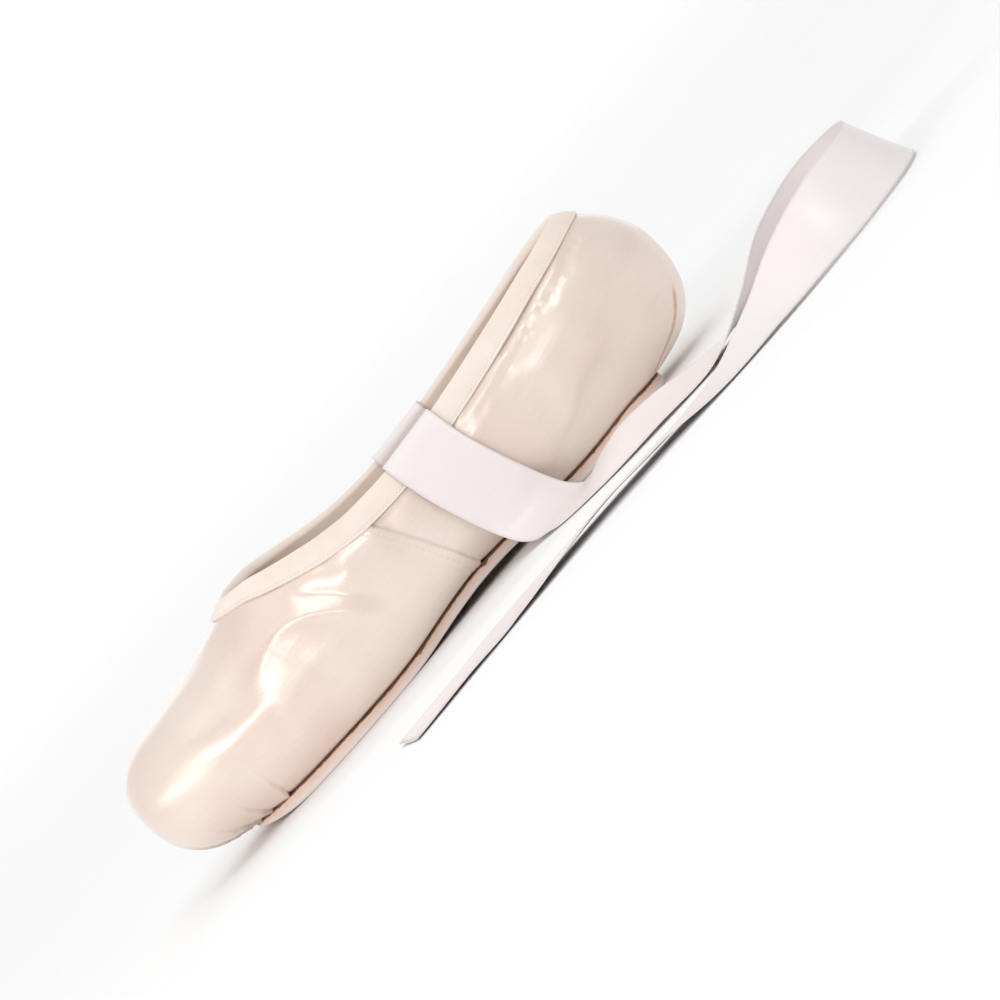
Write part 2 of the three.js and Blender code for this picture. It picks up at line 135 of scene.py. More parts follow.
def cloth_piece(name, points_mm, faces, uv_mm=None, merge=False, finishes=None, lines_mm=None):
    """A smooth mesh object at the origin, from points in millimetres. Its UV maps are in centimetres."""
    mesh = bpy.data.meshes.new(name)
    mesh.from_pydata((np.asarray(points_mm) * MM).tolist(), [], [list(f) for f in faces])
    corner_points = np.zeros(len(mesh.loops), int)
    mesh.loops.foreach_get("vertex_index", corner_points)
    for layer_name, values in (("cloth", uv_mm), ("lines", lines_mm)):
        if values is not None:
            layer = mesh.uv_layers.new(name=layer_name)
            flat = np.asarray(values)[corner_points] / MM_IN_CM
            layer.uv.foreach_set("vector", flat.ravel().astype(np.float32))
    if finishes is not None:
        mesh.polygons.foreach_set("material_index", np.asarray(finishes, np.int32))
    if merge:
        work = bmesh.new()
        work.from_mesh(mesh)
        bmesh.ops.remove_doubles(work, verts=work.verts, dist=MERGE_WITHIN)
        work.to_mesh(mesh)
        work.free()
    mesh.shade_smooth()
    piece = bpy.data.objects.new(name, mesh)
    bpy.context.scene.collection.objects.link(piece)
    print(name, "has", sum(len(f.vertices) - 2 for f in mesh.polygons), "triangles")
    return piece


def in_place_of(piece, node):
    """Lets a finished piece stand for a solid of the frame, on the one body that the shoe has."""
    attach(piece, "root")
    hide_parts(node)


# %% [markdown]
# ## The two ribbons
# The ribbons are satin, 22 mm wide, sewn inside the collar just behind the side seam. With nothing to tie
# round they fall over the binding and lie on the floor. A ribbon keeps its width and its length, so it is
# swept along a route rather than simulated: each row of the tables gives a point and the way the ribbon's
# face looks there. The strip cups a little across its width, and its two woven edges are thicker than the
# rest.

# %% Routes of the ribbons, in millimetres
LEFT_ROUTE = [
    (-23.3, 27.2, 27, 0.08, -1, 0), (-22.9, 26.9, 33.5, 0.08, -1, -0.1),
    (-22.5, 25.9, 39.5, 0.08, -1, -0.2), (-22.1, 24.2, 45.2, 0.06, -1, -0.3),
    (-22, 24.3, 47.5, 0.1, -0.7, 0.7), (-22.1, 26.3, 48.8, 0.07, 0, 1), (-22.3, 28.5, 48.4, 0, 0.6, 0.8),
    (-22.5, 29.9, 46.5, -0.06, 1, 0.3), (-22.9, 31.2, 42, -0.08, 1, 0.2), (-24, 32.4, 34, -0.08, 1, 0.1),
    (-26, 33, 25, -0.08, 1, 0), (-28.5, 33.6, 16, -0.1, 1, 0.1), (-31.5, 35.2, 8, -0.2, 0.9, 0.4),
    (-35, 39.2, 3.2, -0.25, 0.6, 0.8), (-40, 46.5, 1.2, -0.05, 0.1, 1), (-49, 57, 2.5, 0.13, 0.11, 0.98),
    (-61, 66.5, 3.5, 0.16, 0.21, 0.97), (-77, 74, 3.1, 0.08, 0.19, 0.98), (-96, 78.5, 1.5, 0, 0.07, 1),
    (-117, 80, 4.5, 0, -0.34, 0.94), (-137, 80.5, 9.1, 0, -0.77, 0.64),
    (-155, 83.5, 10.9, -0.37, -0.83, 0.37), (-169, 93, 11.1, -0.75, -0.56, 0.34),
    (-174, 108, 11.1, -0.94, 0, 0.34), (-168.5, 123, 11.1, -0.75, 0.56, 0.34),
    (-154, 132, 10.7, -0.37, 0.84, 0.4), (-135, 135, 8.8, 0, 0.74, 0.67), (-114, 135, 4.9, 0, 0.37, 0.93),
    (-92, 132, 1.7, 0, 0.09, 1), (-70, 127, 1.9, 0, -0.1, 1), (-48, 123, 2.3, 0, -0.12, 1),
    (-26, 122.5, 1.5, 0, -0.06, 1), (-4, 125, 0.9, 0, 0, 1), (18, 129.5, 0.7, 0, 0, 1),
    (40, 135, 0.6, 0, 0, 1),
]
RIGHT_ROUTE = [
    (-23.3, -27.2, 27, 0.08, 1, 0), (-22.9, -26.9, 33.5, 0.08, 1, -0.1),
    (-22.5, -25.9, 39.5, 0.08, 1, -0.2), (-22.1, -24.2, 45.2, 0.06, 1, -0.3),
    (-22, -24.3, 47.5, 0.1, 0.7, 0.7), (-22.1, -26.3, 48.8, 0.07, 0, 1),
    (-22.3, -28.5, 48.4, 0, -0.6, 0.8), (-22.5, -29.9, 46.5, -0.06, -1, 0.3),
    (-22.9, -31.2, 42, -0.08, -1, 0.2), (-23.6, -32.4, 34, -0.08, -1, 0.1),
    (-24.2, -33, 25, -0.08, -1, 0), (-24.4, -33.6, 16, 0, -1, 0.1), (-23.5, -35.2, 8, 0.05, -0.9, 0.4),
    (-21.5, -39.5, 3.2, 0.1, -0.6, 0.8), (-17.5, -47.5, 1.3, 0, -0.1, 1),
    (-9, -58.5, 2.5, -0.13, -0.11, 0.98), (3, -67.5, 3.5, -0.15, -0.19, 0.97),
    (19, -74, 3.1, -0.08, -0.19, 0.98), (37, -77.5, 1.3, 0, -0.05, 1), (56, -79, 4.8, 0, 0.37, 0.93),
    (74, -80, 9.1, 0, 0.77, 0.64), (90, -84.5, 10.9, 0.46, 0.79, 0.37),
    (101, -95.5, 11.1, 0.85, 0.42, 0.34), (103.5, -110.5, 11.1, 0.92, -0.18, 0.34),
    (95.5, -124.5, 11.1, 0.56, -0.75, 0.34), (81, -132.5, 10.5, 0.18, -0.88, 0.44),
    (63, -135.5, 8.3, 0, -0.7, 0.72), (43, -134.5, 4.5, 0, -0.34, 0.94), (22, -131, 1.5, 0, -0.07, 1),
    (0, -127.5, 1.9, 0, 0.1, 1), (-22, -126, 2.2, 0, 0.12, 1), (-44, -127.5, 1.4, 0, 0.05, 1),
    (-66, -131, 0.9, 0, 0, 1), (-88, -134, 0.7, 0, 0, 1), (-110, -135.5, 0.6, 0, 0, 1),
]
print("routes of", len(LEFT_ROUTE), "and", len(RIGHT_ROUTE), "points")

# %% Sweep the ribbons
RIBBON_WIDTH = 22
RIBBON_CLOTH = 0.34
SELVEDGE_CLOTH = 0.5
RIBBON_STEPS = 10
RIBBON_SHARES = np.array([1, 0.975, 0.93, 0.8, 0.6, 0.4, 0.2, 0, -0.2, -0.4, -0.6, -0.8, -0.93, -0.975, -1])
SELVEDGE_SHARE = 0.95
LOOSE_FROM, LOOSE_BY = 95, 135
CUP = 0.45
RIPPLE, RIPPLE_LENGTH = 0.12, 7.5


def ribbon_frame(route):
    """The middle of a ribbon, its width way, its face way and the length so far, at every step."""
    rows = np.array(route, float)
    middle = through(rows[:, :3], RIBBON_STEPS)
    along = unit(np.gradient(middle, axis=0))
    across = unit(np.cross(along, through(rows[:, 3:], RIBBON_STEPS)))
    return middle, across, np.cross(across, along), run_along(middle)


def ribbon(name, node, route):
    """A closed strip of cloth along a route, with thicker edges, in place of the ribbon's solid."""
    middle, across, face, length = ribbon_frame(route)
    shares = RIBBON_SHARES
    cloth = np.where(np.abs(shares) > SELVEDGE_SHARE, SELVEDGE_CLOTH, RIBBON_CLOTH) / 2
    loose = smooth(LOOSE_FROM, LOOSE_BY, length)[:, None]
    lift = loose * (CUP * shares**2 + RIPPLE * np.sin(length[:, None] / RIPPLE_LENGTH + 2 * shares))
    spread = middle[:, None] + across[:, None] * (shares * RIBBON_WIDTH / 2)[None, :, None]
    top = spread + face[:, None] * (lift + cloth)[..., None]
    under = spread + face[:, None] * (lift - cloth)[..., None]
    rings = np.concatenate([top, under[:, ::-1]], axis=1)
    rows, columns = rings.shape[:2]
    faces = grid_faces(rows, columns, wrap=True)[:, ::-1].tolist()
    count = len(shares)
    for start, flip in ((0, False), ((rows - 1) * columns, True)):
        for k in range(count - 1):
            strip = [start + k, start + k + 1, start + columns - 2 - k, start + columns - 1 - k]
            faces.append(strip if flip else strip[::-1])
    width = np.concatenate([shares, shares[::-1]]) * RIBBON_WIDTH / 2
    uv = np.stack(np.broadcast_arrays(length[:, None], width[None]), -1).reshape(-1, 2)
    piece = cloth_piece(name, rings.reshape(-1, 3), faces, uv)
    print(name, "is", round(length[-1], 1), "mm long")
    in_place_of(piece, node)
    return piece


left_ribbon = ribbon("left_satin_ribbon", "ribbon_left", LEFT_ROUTE)
right_ribbon = ribbon("right_satin_ribbon", "ribbon_right", RIGHT_ROUTE)

# %% [markdown]
# ## The last
# A shoe is made over a last. The same last shapes every piece here, so it is written once as a function:
# for any distance behind the toe tip it gives a section, with its half width, the flat underneath, the
# height of the widest line and the height of the crown. The columns repeat the CAD part, so the cloth lands
# on its solids.

# %% Tables of the last
LENGTH = 232
LAST_COLUMNS = ("back", "half", "flat", "widest", "crown", "power")
LAST_ROWS = np.array([
    (0, 38.5, 0, 26, 45.4, 2.4), (18, 38.5, 0, 25.2, 46.8, 2.4), (36, 38.5, 15, 23.8, 48.9, 2.35),
    (52, 38.5, 23, 22, 51.9, 2.3), (70, 38.5, 26, 20.6, 57.4, 2.3), (90, 37, 24, 20.3, 64, 2.25),
    (110, 34, 19, 21, 68.8, 2.2), (130, 31.6, 16.5, 22.6, 71, 2.15), (150, 30.4, 16.5, 25, 70.5, 2.1),
    (170, 30.2, 18, 28, 68, 2), (195, 30.2, 13, 32, 64.8, 1.9), (212, 30.2, 0, 32.8, 64.8, 1.85),
    (LENGTH, 30.2, 0, 33, 64.8, 1.85),
])
LOWER_POWER = 2.2
# How each outline closes: span and power at the toe, then at the heel.
PLAN_ROUND = (70, 2.15, 42, 2.2)
CROWN_ROUND = (22, 2.9, 37, 1.8)
KEEL_ROUND = (40, 2.6, 29, 2.45)
# Distance behind the toe tip, then the height of the collar or half the width of the sole.
COLLAR_ROWS = np.array([
    (74, 55.7), (82, 53.7), (90, 51.4), (100, 48.8), (112, 46.8), (126, 46.2), (140, 46.9), (158, 48.9),
    (184, 52.6), (202, 55.4),
])
THROAT_BACK = 66
HEEL_TOP_BACK = 217
SOLE_FRONT, SOLE_REAR = 22, 203
SOLE_ROUND = (46, 2.1, 23, 2.6)
SOLE_ROWS = np.array([
    (0, 29), (68, 29), (85, 27.3), (105, 22.6), (125, 19.6), (145, 19.2), (165, 20.6), (180, 20.8),
    (LENGTH, 20.8),
])
# Front end, rear end and share of the sole's width.
OPENING = (34, 192, 0.62)
INSOLE = (25, 200, 0.87)
SOLE_THICKNESS = 3.6
GAP = 0.3
WALL = 1.6
ARCH_LIFT, ARCH_FRONT, ARCH_REAR = 3, 82, 168
print("the last has", len(LAST_ROWS), "sections along", LENGTH, "mm")


# %% The last as a function
def column(backs, values):
    """A smooth curve through a column of a table, with no overshoot between rows."""
    slopes = np.diff(values) / np.diff(backs)
    turns = slopes[:-1] * slopes[1:]
    safe = np.where(turns > 0, slopes[:-1] + slopes[1:], 1)
    tangents = np.concatenate([[0], np.where(turns > 0, 2 * turns / safe, 0), [0]])

    def curve(back):
        back = np.asarray(back, float)
        i = np.clip(np.searchsorted(backs, back, side="right") - 1, 0, len(backs) - 2)
        step = backs[i + 1] - backs[i]
        t = np.clip((back - backs[i]) / step, 0, 1)
        rise = t * t * (3 - 2 * t)
        bend = tangents[i] * t * (1 - t) ** 2 - tangents[i + 1] * t * t * (1 - t)
        return values[i] * (1 - rise) + values[i + 1] * rise + step * bend

    return curve


def end_round(back, toe_span, toe_power, heel_span, heel_power, front=0, rear=LENGTH):
    """1 along the middle of a form, falling to 0 at both ends along super-ellipses."""
    toe = np.clip((front + toe_span - back) / toe_span, 0, 1)
    heel = np.clip((back - rear + heel_span) / heel_span, 0, 1)
    return (1 - toe**toe_power) ** (1 / toe_power) * (1 - heel**heel_power) ** (1 / heel_power)


last_curves = {
    name: column(LAST_ROWS[:, 0], LAST_ROWS[:, k]) for k, name in enumerate(LAST_COLUMNS) if name != "back"
}
sole_curve = column(SOLE_ROWS[:, 0], SOLE_ROWS[:, 1])


def section(back):
    """The numbers of the last's section at a distance behind the toe tip."""
    back = np.asarray(back, float)
    s = {name: curve(back) for name, curve in last_curves.items()}
    arch = ARCH_LIFT * np.sin(np.pi * np.clip((back - ARCH_FRONT) / (ARCH_REAR - ARCH_FRONT), 0, 1)) ** 2
    base = SOLE_THICKNESS + GAP + arch
    s["half"] = s["half"] * end_round(back, *PLAN_ROUND)
    s["crown"] = s["widest"] + (s["crown"] - s["widest"]) * end_round(back, *CROWN_ROUND)
    s["keel"] = s["widest"] - (s["widest"] - base) * end_round(back, *KEEL_ROUND)
    return s


def sole_half(back):
    """Half the width of the outsole, 0 in front of it and behind it."""
    inside = (back > SOLE_FRONT) & (back < SOLE_REAR)
    return np.where(inside, sole_curve(back) * end_round(back, *SOLE_ROUND, SOLE_FRONT, SOLE_REAR), 0)


def sole_copy_half(back, front, rear, share):
    """Half the width of a form like the outsole, between its own ends and with a share of its width."""
    return share * sole_half(SOLE_FRONT + (back - front) / (rear - front) * (SOLE_REAR - SOLE_FRONT))


collar_curve = column(
    np.array([THROAT_BACK, *COLLAR_ROWS[:, 0], HEEL_TOP_BACK]),
    np.array([section(THROAT_BACK)["crown"], *COLLAR_ROWS[:, 1], section(HEEL_TOP_BACK)["crown"]]),
)


def underside(s, y):
    """Height of the last's underside beside its middle line."""
    beyond = np.clip((np.abs(y) - s["flat"]) / np.maximum(s["half"] - s["flat"], 1e-9), 0, 1)
    return s["widest"] - (s["widest"] - s["keel"]) * (1 - beyond**LOWER_POWER) ** (1 / LOWER_POWER)


def level(p):
    """Below 0 inside the last, 0 on its surface, above 0 outside."""
    s = section(LENGTH / 2 - p[..., 0])
    y, z = np.abs(p[..., 1]), p[..., 2]
    high = np.clip((z - s["widest"]) / np.maximum(s["crown"] - s["widest"], 1e-9), 0, None)
    low = np.clip((s["widest"] - z) / np.maximum(s["widest"] - s["keel"], 1e-9), 0, None)
    over = (y / np.maximum(s["half"], 1e-9)) ** s["power"] + high ** s["power"]
    beyond = np.clip(y - s["flat"], 0, None) / np.maximum(s["half"] - s["flat"], 1e-9)
    return np.where(z >= s["widest"], over, beyond**LOWER_POWER + low**LOWER_POWER) - 1


def gradient(p):
    """How fast the level changes along each axis, measured over a short step."""
    probe = 0.01
    steps = np.eye(3) * probe
    return np.stack([(level(p + d) - level(p - d)) / (2 * probe) for d in steps], -1)


def outward(p):
    """The way out of the last at points on its surface."""
    normal = gradient(p)
    tips = np.abs(p[..., 0]) > LENGTH / 2 - 0.05
    normal[tips] = np.stack([np.sign(p[tips][:, 0]), np.zeros(tips.sum()), np.zeros(tips.sum())], -1)
    return unit(normal)


def onto_last(p, rounds=6):
    """Points near the last moved onto its surface, a little closer in each round."""
    for _ in range(rounds):
        g = gradient(p)
        p = p - g * (level(p) / np.maximum((g * g).sum(-1), 1e-12))[..., None]
    return p


print("widest half of the last:", round(float(section(64)["half"]), 2), "mm")

# %% [markdown]
# ## The form of the upper
# The upper is a hollow shell of satin over lining, open at the collar and underneath. Each station along
# the shoe gives an arc from the opening underneath, round the side, to the collar or to the crown of the
# vamp. The stations are close together at the toe, the seams and the heel, where the cloth has its detail.
# Beside each point three distances are kept: behind the toe tip, round the girth from the widest line, and
# below the collar.

# %% Arcs of the upper
SEAM_FRONT, SEAM_REAR = 104, 130
UPPER_STOPS = [0, OPENING[0], THROAT_BACK, SEAM_FRONT, SEAM_REAR, OPENING[1], HEEL_TOP_BACK, LENGTH]
UPPER_STEPS = [60, 44, 50, 72, 56, 36, 30]
ARC_STEPS = 62
FINE = 60


def eased(start, end, steps):
    """Numbers from start to end that lie closer together near both."""
    return start + (end - start) * (1 - np.cos(np.pi * np.arange(steps + 1) / steps)) / 2


def fine_arcs(backs):
    """Fine lines round the left half of the upper at each station, and the girth from the widest line."""
    s = {name: values[:, None] for name, values in section(backs).items()}
    turn = np.linspace(np.pi / 2, 0, FINE + 1)[None]
    open_under = (backs > OPENING[0]) & (backs < OPENING[1])
    y_start = np.where(open_under, sole_copy_half(backs, *OPENING), 0)[:, None]
    y_low = s["flat"] + (s["half"] - s["flat"]) * np.cos(turn) ** (2 / LOWER_POWER)
    z_low = s["widest"] - (s["widest"] - s["keel"]) * np.sin(turn) ** (2 / LOWER_POWER)
    open_top = ((backs > THROAT_BACK) & (backs < HEEL_TOP_BACK))[:, None]
    span = np.maximum(s["crown"] - s["widest"], 1e-9)
    rise = np.where(open_top, (collar_curve(backs)[:, None] - s["widest"]) / span, 1)
    angle = np.arcsin(np.clip(rise, 0, 1) ** (s["power"] / 2)) * np.linspace(0, 1, FINE + 1)[None, 1:]
    y_up = s["half"] * np.clip(np.cos(angle), 0, 1) ** (2 / s["power"])
    z_up = s["widest"] + (s["crown"] - s["widest"]) * np.sin(angle) ** (2 / s["power"])
    y = np.concatenate([y_start, y_low, y_up], 1)
    z = np.concatenate([s["keel"], z_low, z_up], 1)
    run = np.concatenate([np.zeros((len(backs), 1)), np.cumsum(np.hypot(np.diff(y), np.diff(z)), 1)], 1)
    return y, z, run, run - run[:, FINE + 1 : FINE + 2]


pieces_of_line = [eased(*span) for span in zip(UPPER_STOPS, UPPER_STOPS[1:], UPPER_STEPS)]
backs = np.concatenate([pieces_of_line[0]] + [line[1:] for line in pieces_of_line[1:]])
fine_y, fine_z, fine_run, fine_girth = fine_arcs(backs)
arc = {name: np.zeros((len(backs), ARC_STEPS + 1)) for name in ("y", "z", "girth", "below")}
for i in range(len(backs)):
    want = np.linspace(0, fine_run[i, -1], ARC_STEPS + 1)
    for name, line in (("y", fine_y), ("z", fine_z), ("girth", fine_girth)):
        arc[name][i] = np.interp(want, fine_run[i], line[i])
    arc["below"][i] = fine_run[i, -1] - want
arc["back"] = np.broadcast_to(backs[:, None], arc["y"].shape)
closed_top = (backs <= THROAT_BACK) | (backs >= HEEL_TOP_BACK)
closed_under = (backs <= OPENING[0]) | (backs >= OPENING[1])
arc["y"][closed_top, -1] = 0
arc["y"][closed_under, 0] = 0
skin = np.stack([LENGTH / 2 - arc["back"], arc["y"], arc["z"]], -1)
skin_out = outward(skin)
skin_out[closed_top, -1, 1] = 0
skin_out[closed_under, 0, 1] = 0
skin_out = unit(skin_out)
print("the upper has", len(backs), "stations of", ARC_STEPS + 1, "points a side")

# %% [markdown]
# ## Creases, pleats and gathers
# Satin shows its folds, so the relief of the shell matters more than anything else. Cloth simulation would
# put the folds where it likes. The main ones are placed one by one instead, as soft troughs and ridges
# along short lines of the shoe's own sizes: how far behind the toe, and how high above the floor. A fold's
# line is laid out on the flattened cloth, and the satin moves in or out with the distance from it.

# %% Folds along lines on the cloth
# Each fold: its line of (back, height), rise, reach, width of its crest, fade at its ends, and the share of
# the reach that is left on its lower side. A small share makes that side steep.
VAMP_FOLDS = [
    ([(98, 15), (92, 24), (86, 32), (79, 37.5), (72, 40), (65, 39.5), (59, 36.5), (55, 32)],
     1.1, 3.6, 0.7, 13, 0.5),
    ([(102, 19), (96, 28), (91, 34.5), (85, 41), (80, 46)], -1.05, 2.5, 0.7, 11, 1),
    ([(88, 22), (78, 29), (68, 31), (60, 27)], -0.75, 5.0, 3.0, 14, 1),
    ([(56, 28), (52, 24.5), (50, 20), (52, 12)], -0.6, 2.4, 0.9, 8, 1),
    ([(53, 33), (46, 29), (38, 27), (26, 24), (17, 20)], 0.75, 4.8, 2.4, 11, 0.7),
    ([(117, 35.5), (110, 34.5), (101, 36), (92, 41)], 1.3, 8.0, 3.5, 8, 0.8),
    ([(46, 42), (36, 44), (24, 42)], -0.22, 6.0, 4.0, 10, 1),
]
QUARTER_FOLDS = [
    ([(134, 30), (150, 26), (168, 22), (184, 20)], -0.35, 7.0, 5.0, 16, 1),
    ([(128, 16), (144, 19), (160, 16)], 0.28, 6.0, 4.0, 12, 1),
    ([(176, 34), (190, 31), (206, 30)], 0.3, 7.0, 5.0, 14, 1),
    ([(196, 20), (208, 24), (218, 32)], -0.25, 6.0, 4.0, 12, 1),
]


def girth_at(back, height):
    """Girth from the widest line at a height on the section at that distance behind the toe."""
    _, z, _, girth = fine_arcs(np.array([float(back)]))
    return float(np.interp(height, z[0], girth[0]))


def nearest_on_line(line, back, girth):
    """Distance from a line on the flat cloth, the side of it, how far along it that is, and its length."""
    best = np.full(back.shape, np.inf)
    side, along, start = np.zeros(back.shape), np.zeros(back.shape), 0.0
    for (b0, g0), (b1, g1) in zip(line[:-1], line[1:]):
        run = math.hypot(b1 - b0, g1 - g0)
        t = ((back - b0) * (b1 - b0) + (girth - g0) * (g1 - g0)) / run**2
        held = np.clip(t, 0, 1)
        away = np.hypot(back - b0 - held * (b1 - b0), girth - g0 - held * (g1 - g0))
        turn = (b1 - b0) * (girth - g0) - (g1 - g0) * (back - b0)
        closer = away < best
        best = np.where(closer, away, best)
        side = np.where(closer, np.sign(turn), side)
        along = np.where(closer, start + held * run, along)
        start += run
    return best, side, along, start


def fold(nodes, rise, reach, crest, fade, lower_share=1, shift=(0, 0)):
    """The relief of one fold all over the upper."""
    line = through([(b + shift[0], girth_at(b + shift[0], h + shift[1])) for b, h in nodes], 5)
    away, side, along, total = nearest_on_line(line, arc["back"], arc["girth"])
    ends = smooth(0, fade, along) * smooth(total, total - fade, along)
    reach = reach * np.where(side > 0, lower_share, 1)
    return rise * np.exp(-(np.hypot(away, crest) - crest) / reach) * ends


print(len(VAMP_FOLDS) + len(QUARTER_FOLDS), "folds a side")

# %% [markdown]
# The satin is pleated under at the toe and turned under at the heel. At the toe the pleats fan out from
# under the tip of the sole: each one swells slowly on one side and drops sharply on the other. At the heel
# one tuck runs from the end of the sole up to the back.

# %% Pleats at the toe
PLEAT_CENTRE = 38
PLEAT_ANGLES = np.radians([13, 38, 62, 86])
PLEAT_RISE = 0.85
PLEAT_SWELL, PLEAT_NOTCH = 2.8, 0.9
NOTCH_SHARE = 0.75
PLEAT_TOP, PLEAT_FOOT = 19.5, 5
PLEAT_REAR, PLEAT_FULL = 50, 38


def toe_pleats():
    """Pleats that fan out in front of the sole, each with a slow swell and a sharp notch."""
    ahead = PLEAT_CENTRE - arc["back"]
    radius = np.hypot(ahead, arc["y"])
    angle = np.arctan2(arc["y"], ahead)
    lift = np.zeros(arc["y"].shape)
    for a in PLEAT_ANGLES:
        away = (angle - a) * radius
        swell = np.exp(-np.clip(-away, 0, None) / PLEAT_SWELL) * (away < 0)
        notch = np.exp(-np.clip(away, 0, None) / PLEAT_NOTCH) * (away >= 0)
        lift += swell - NOTCH_SHARE * notch
    low = smooth(PLEAT_TOP, PLEAT_FOOT, arc["z"]) ** 1.2
    return PLEAT_RISE * lift * low * smooth(PLEAT_REAR, PLEAT_FULL, arc["back"]) * smooth(0.5, 5, radius)


print("relief of the pleats up to", round(float(np.abs(toe_pleats()).max()), 2), "mm")

# %% Tuck at the heel
HEEL_TUCK = [(200, 4.5), (206, 6.5), (213, 9), (220, 13), (226, 19)]
TUCK_SOFT = 0.9
TUCK_SWELL, TUCK_SWELL_REACH = 0.75, 3.5
TUCK_HOLLOW, TUCK_HOLLOW_REACH = 0.4, 1.8


def tuck_distance():
    """Distance above the heel's tuck, and how much of the tuck is there, from 0 past its ends to 1."""
    line = through([(b, girth_at(b, h)) for b, h in HEEL_TUCK], 5)
    away, side, along, total = nearest_on_line(line, arc["back"], arc["girth"])
    return away * side, smooth(0, 3, along) * smooth(total, total - 5, along)


def heel_tuck():
    """The cloth swells below the tuck and sinks in above it."""
    above, share = tuck_distance()
    over = smooth(-TUCK_SOFT, TUCK_SOFT, above)
    swell = np.exp(np.minimum(above, 0) / TUCK_SWELL_REACH) * (1 - over)
    hollow = np.exp(-np.maximum(above, 0) / TUCK_HOLLOW_REACH) * over
    return share * (TUCK_SWELL * swell - TUCK_HOLLOW * hollow)


print("relief of the tuck up to", round(float(np.abs(heel_tuck()).max()), 2), "mm")

# %% [markdown]
# The stitches of the binding draw the satin in along their row. Towards the heel the cloth below them
# gathers in a soft roll with small puckers, which break the highlight there into glints. A pucker is only a
# short fold that starts under the binding, so a loop with a fixed seed lays them side by side.

# %% Pull of the binding's stitches
BINDING_WIDTH = 7.2
GROOVE_DEPTH, GROOVE_REACH = 0.28, 1.3
BULGE_RISE, BULGE_BELOW, BULGE_REACH = 0.75, 2.4, 1.7
BULGE_COMES, BULGE_GOES = (150, 172), (216, 204)
PUCKER_BACKS = np.arange(148, 217, 3.4)
PUCKER_ASTRAY = 1.1
# Lean, length and rise of a pucker.
PUCKER_LEAST, PUCKER_MOST = (0.5, 4.5, -0.5), (3.0, 9.0, -0.22)
PUCKER_REACH, PUCKER_CREST, PUCKER_FADE = 1.1, 0.4, 0.45
PUCKER_TUCKED = 1.5
PUCKER_SEED = 17


def collar_pull():
    """The binding's stitches draw the satin in, and it gathers below them towards the heel."""
    front = smooth(THROAT_BACK, THROAT_BACK + 6, arc["back"])
    rear = smooth(HEEL_TOP_BACK, HEEL_TOP_BACK - 4, arc["back"])
    below = arc["below"] - BINDING_WIDTH
    groove = -GROOVE_DEPTH * np.exp(-((below / GROOVE_REACH) ** 2))
    bulge_share = smooth(*BULGE_COMES, arc["back"]) * smooth(*BULGE_GOES, arc["back"])
    bulge = BULGE_RISE * bulge_share * np.exp(-(((below - BULGE_BELOW) / BULGE_REACH) ** 2))
    lift = front * rear * (groove + bulge)
    draw = np.random.default_rng(PUCKER_SEED)
    for back in PUCKER_BACKS + draw.uniform(-PUCKER_ASTRAY, PUCKER_ASTRAY, len(PUCKER_BACKS)):
        lean, length, rise = draw.uniform(PUCKER_LEAST, PUCKER_MOST)
        top = float(collar_curve(back)) - BINDING_WIDTH + PUCKER_TUCKED
        line = [(back, top), (back + lean, top - length)]
        lift += fold(line, rise, PUCKER_REACH, PUCKER_CREST, length * PUCKER_FADE)
    return lift


print(len(PUCKER_BACKS), "puckers a side under the binding")

# %% [markdown]
# The quarter is sewn to the vamp along a side seam that leans forward as it climbs. The vamp's edge is
# folded under and stitched down, so it stands a little proud in a narrow band, and the quarter starts lower
# behind it. The two quarters meet in a plain seam at the back of the heel.

# %% Side seams and back seam
SEAM_ROWS = np.array([(0, 127), (5, 126), (13, 124), (21, 121), (29, 117.6), (37, 114), (47, 109)])
seam_curve = column(SEAM_ROWS[:, 0], SEAM_ROWS[:, 1])
SEAM_BAND, SEAM_PROUD = 3.3, 0.3
SEAM_STEP, SEAM_STEP_REACH = 0.38, 2.2
STITCH_BACKSET = 2.5
STITCH_DENT, STITCH_DENT_REACH = 0.22, 0.45
BACK_SEAM_DEPTH, BACK_SEAM_REACH = 0.3, 0.5
BACK_RIDGE_OFF, BACK_RIDGE_REACH, BACK_RIDGE_SHARE = 1.3, 0.8, 0.5
BACK_SEAM_COMES, BACK_SEAM_FOOT = (212, 220), (16, 22)


def side_seam():
    """The vamp's edge stands proud, its stitches dent it, and the quarter lies lower behind it."""
    behind = arc["back"] - seam_curve(arc["z"])
    band = SEAM_PROUD * smooth(-SEAM_BAND - 0.8, -SEAM_BAND + 0.4, behind) * smooth(0.25, -0.15, behind)
    row = -STITCH_DENT * np.exp(-(((behind + STITCH_BACKSET) / STITCH_DENT_REACH) ** 2))
    fall = np.where(behind > 0, np.exp(-behind / SEAM_STEP_REACH), 0)
    return band + row - SEAM_STEP * fall * smooth(-0.1, 0.25, behind)


def back_seam():
    """A narrow furrow down the heel between two faint ridges."""
    furrow = np.exp(-((arc["y"] / BACK_SEAM_REACH) ** 2))
    ridge = BACK_RIDGE_SHARE * np.exp(-(((arc["y"] - BACK_RIDGE_OFF) / BACK_RIDGE_REACH) ** 2))
    there = smooth(*BACK_SEAM_COMES, arc["back"]) * smooth(*BACK_SEAM_FOOT, arc["z"])
    return -BACK_SEAM_DEPTH * (furrow - ridge) * there


print("the side seam climbs from", SEAM_ROWS[0, 1], "to", SEAM_ROWS[-1, 1], "mm behind the toe")

# %% [markdown]
# Last come the long slow waves of any cloth over a form. Pleats, tuck, gathers and seams are the same on
# both sides. Folds are not, so the far side has them moved a little and a little shallower. They fade out
# towards the middle of the shoe, and above the feather line, where the sole holds the cloth flat.

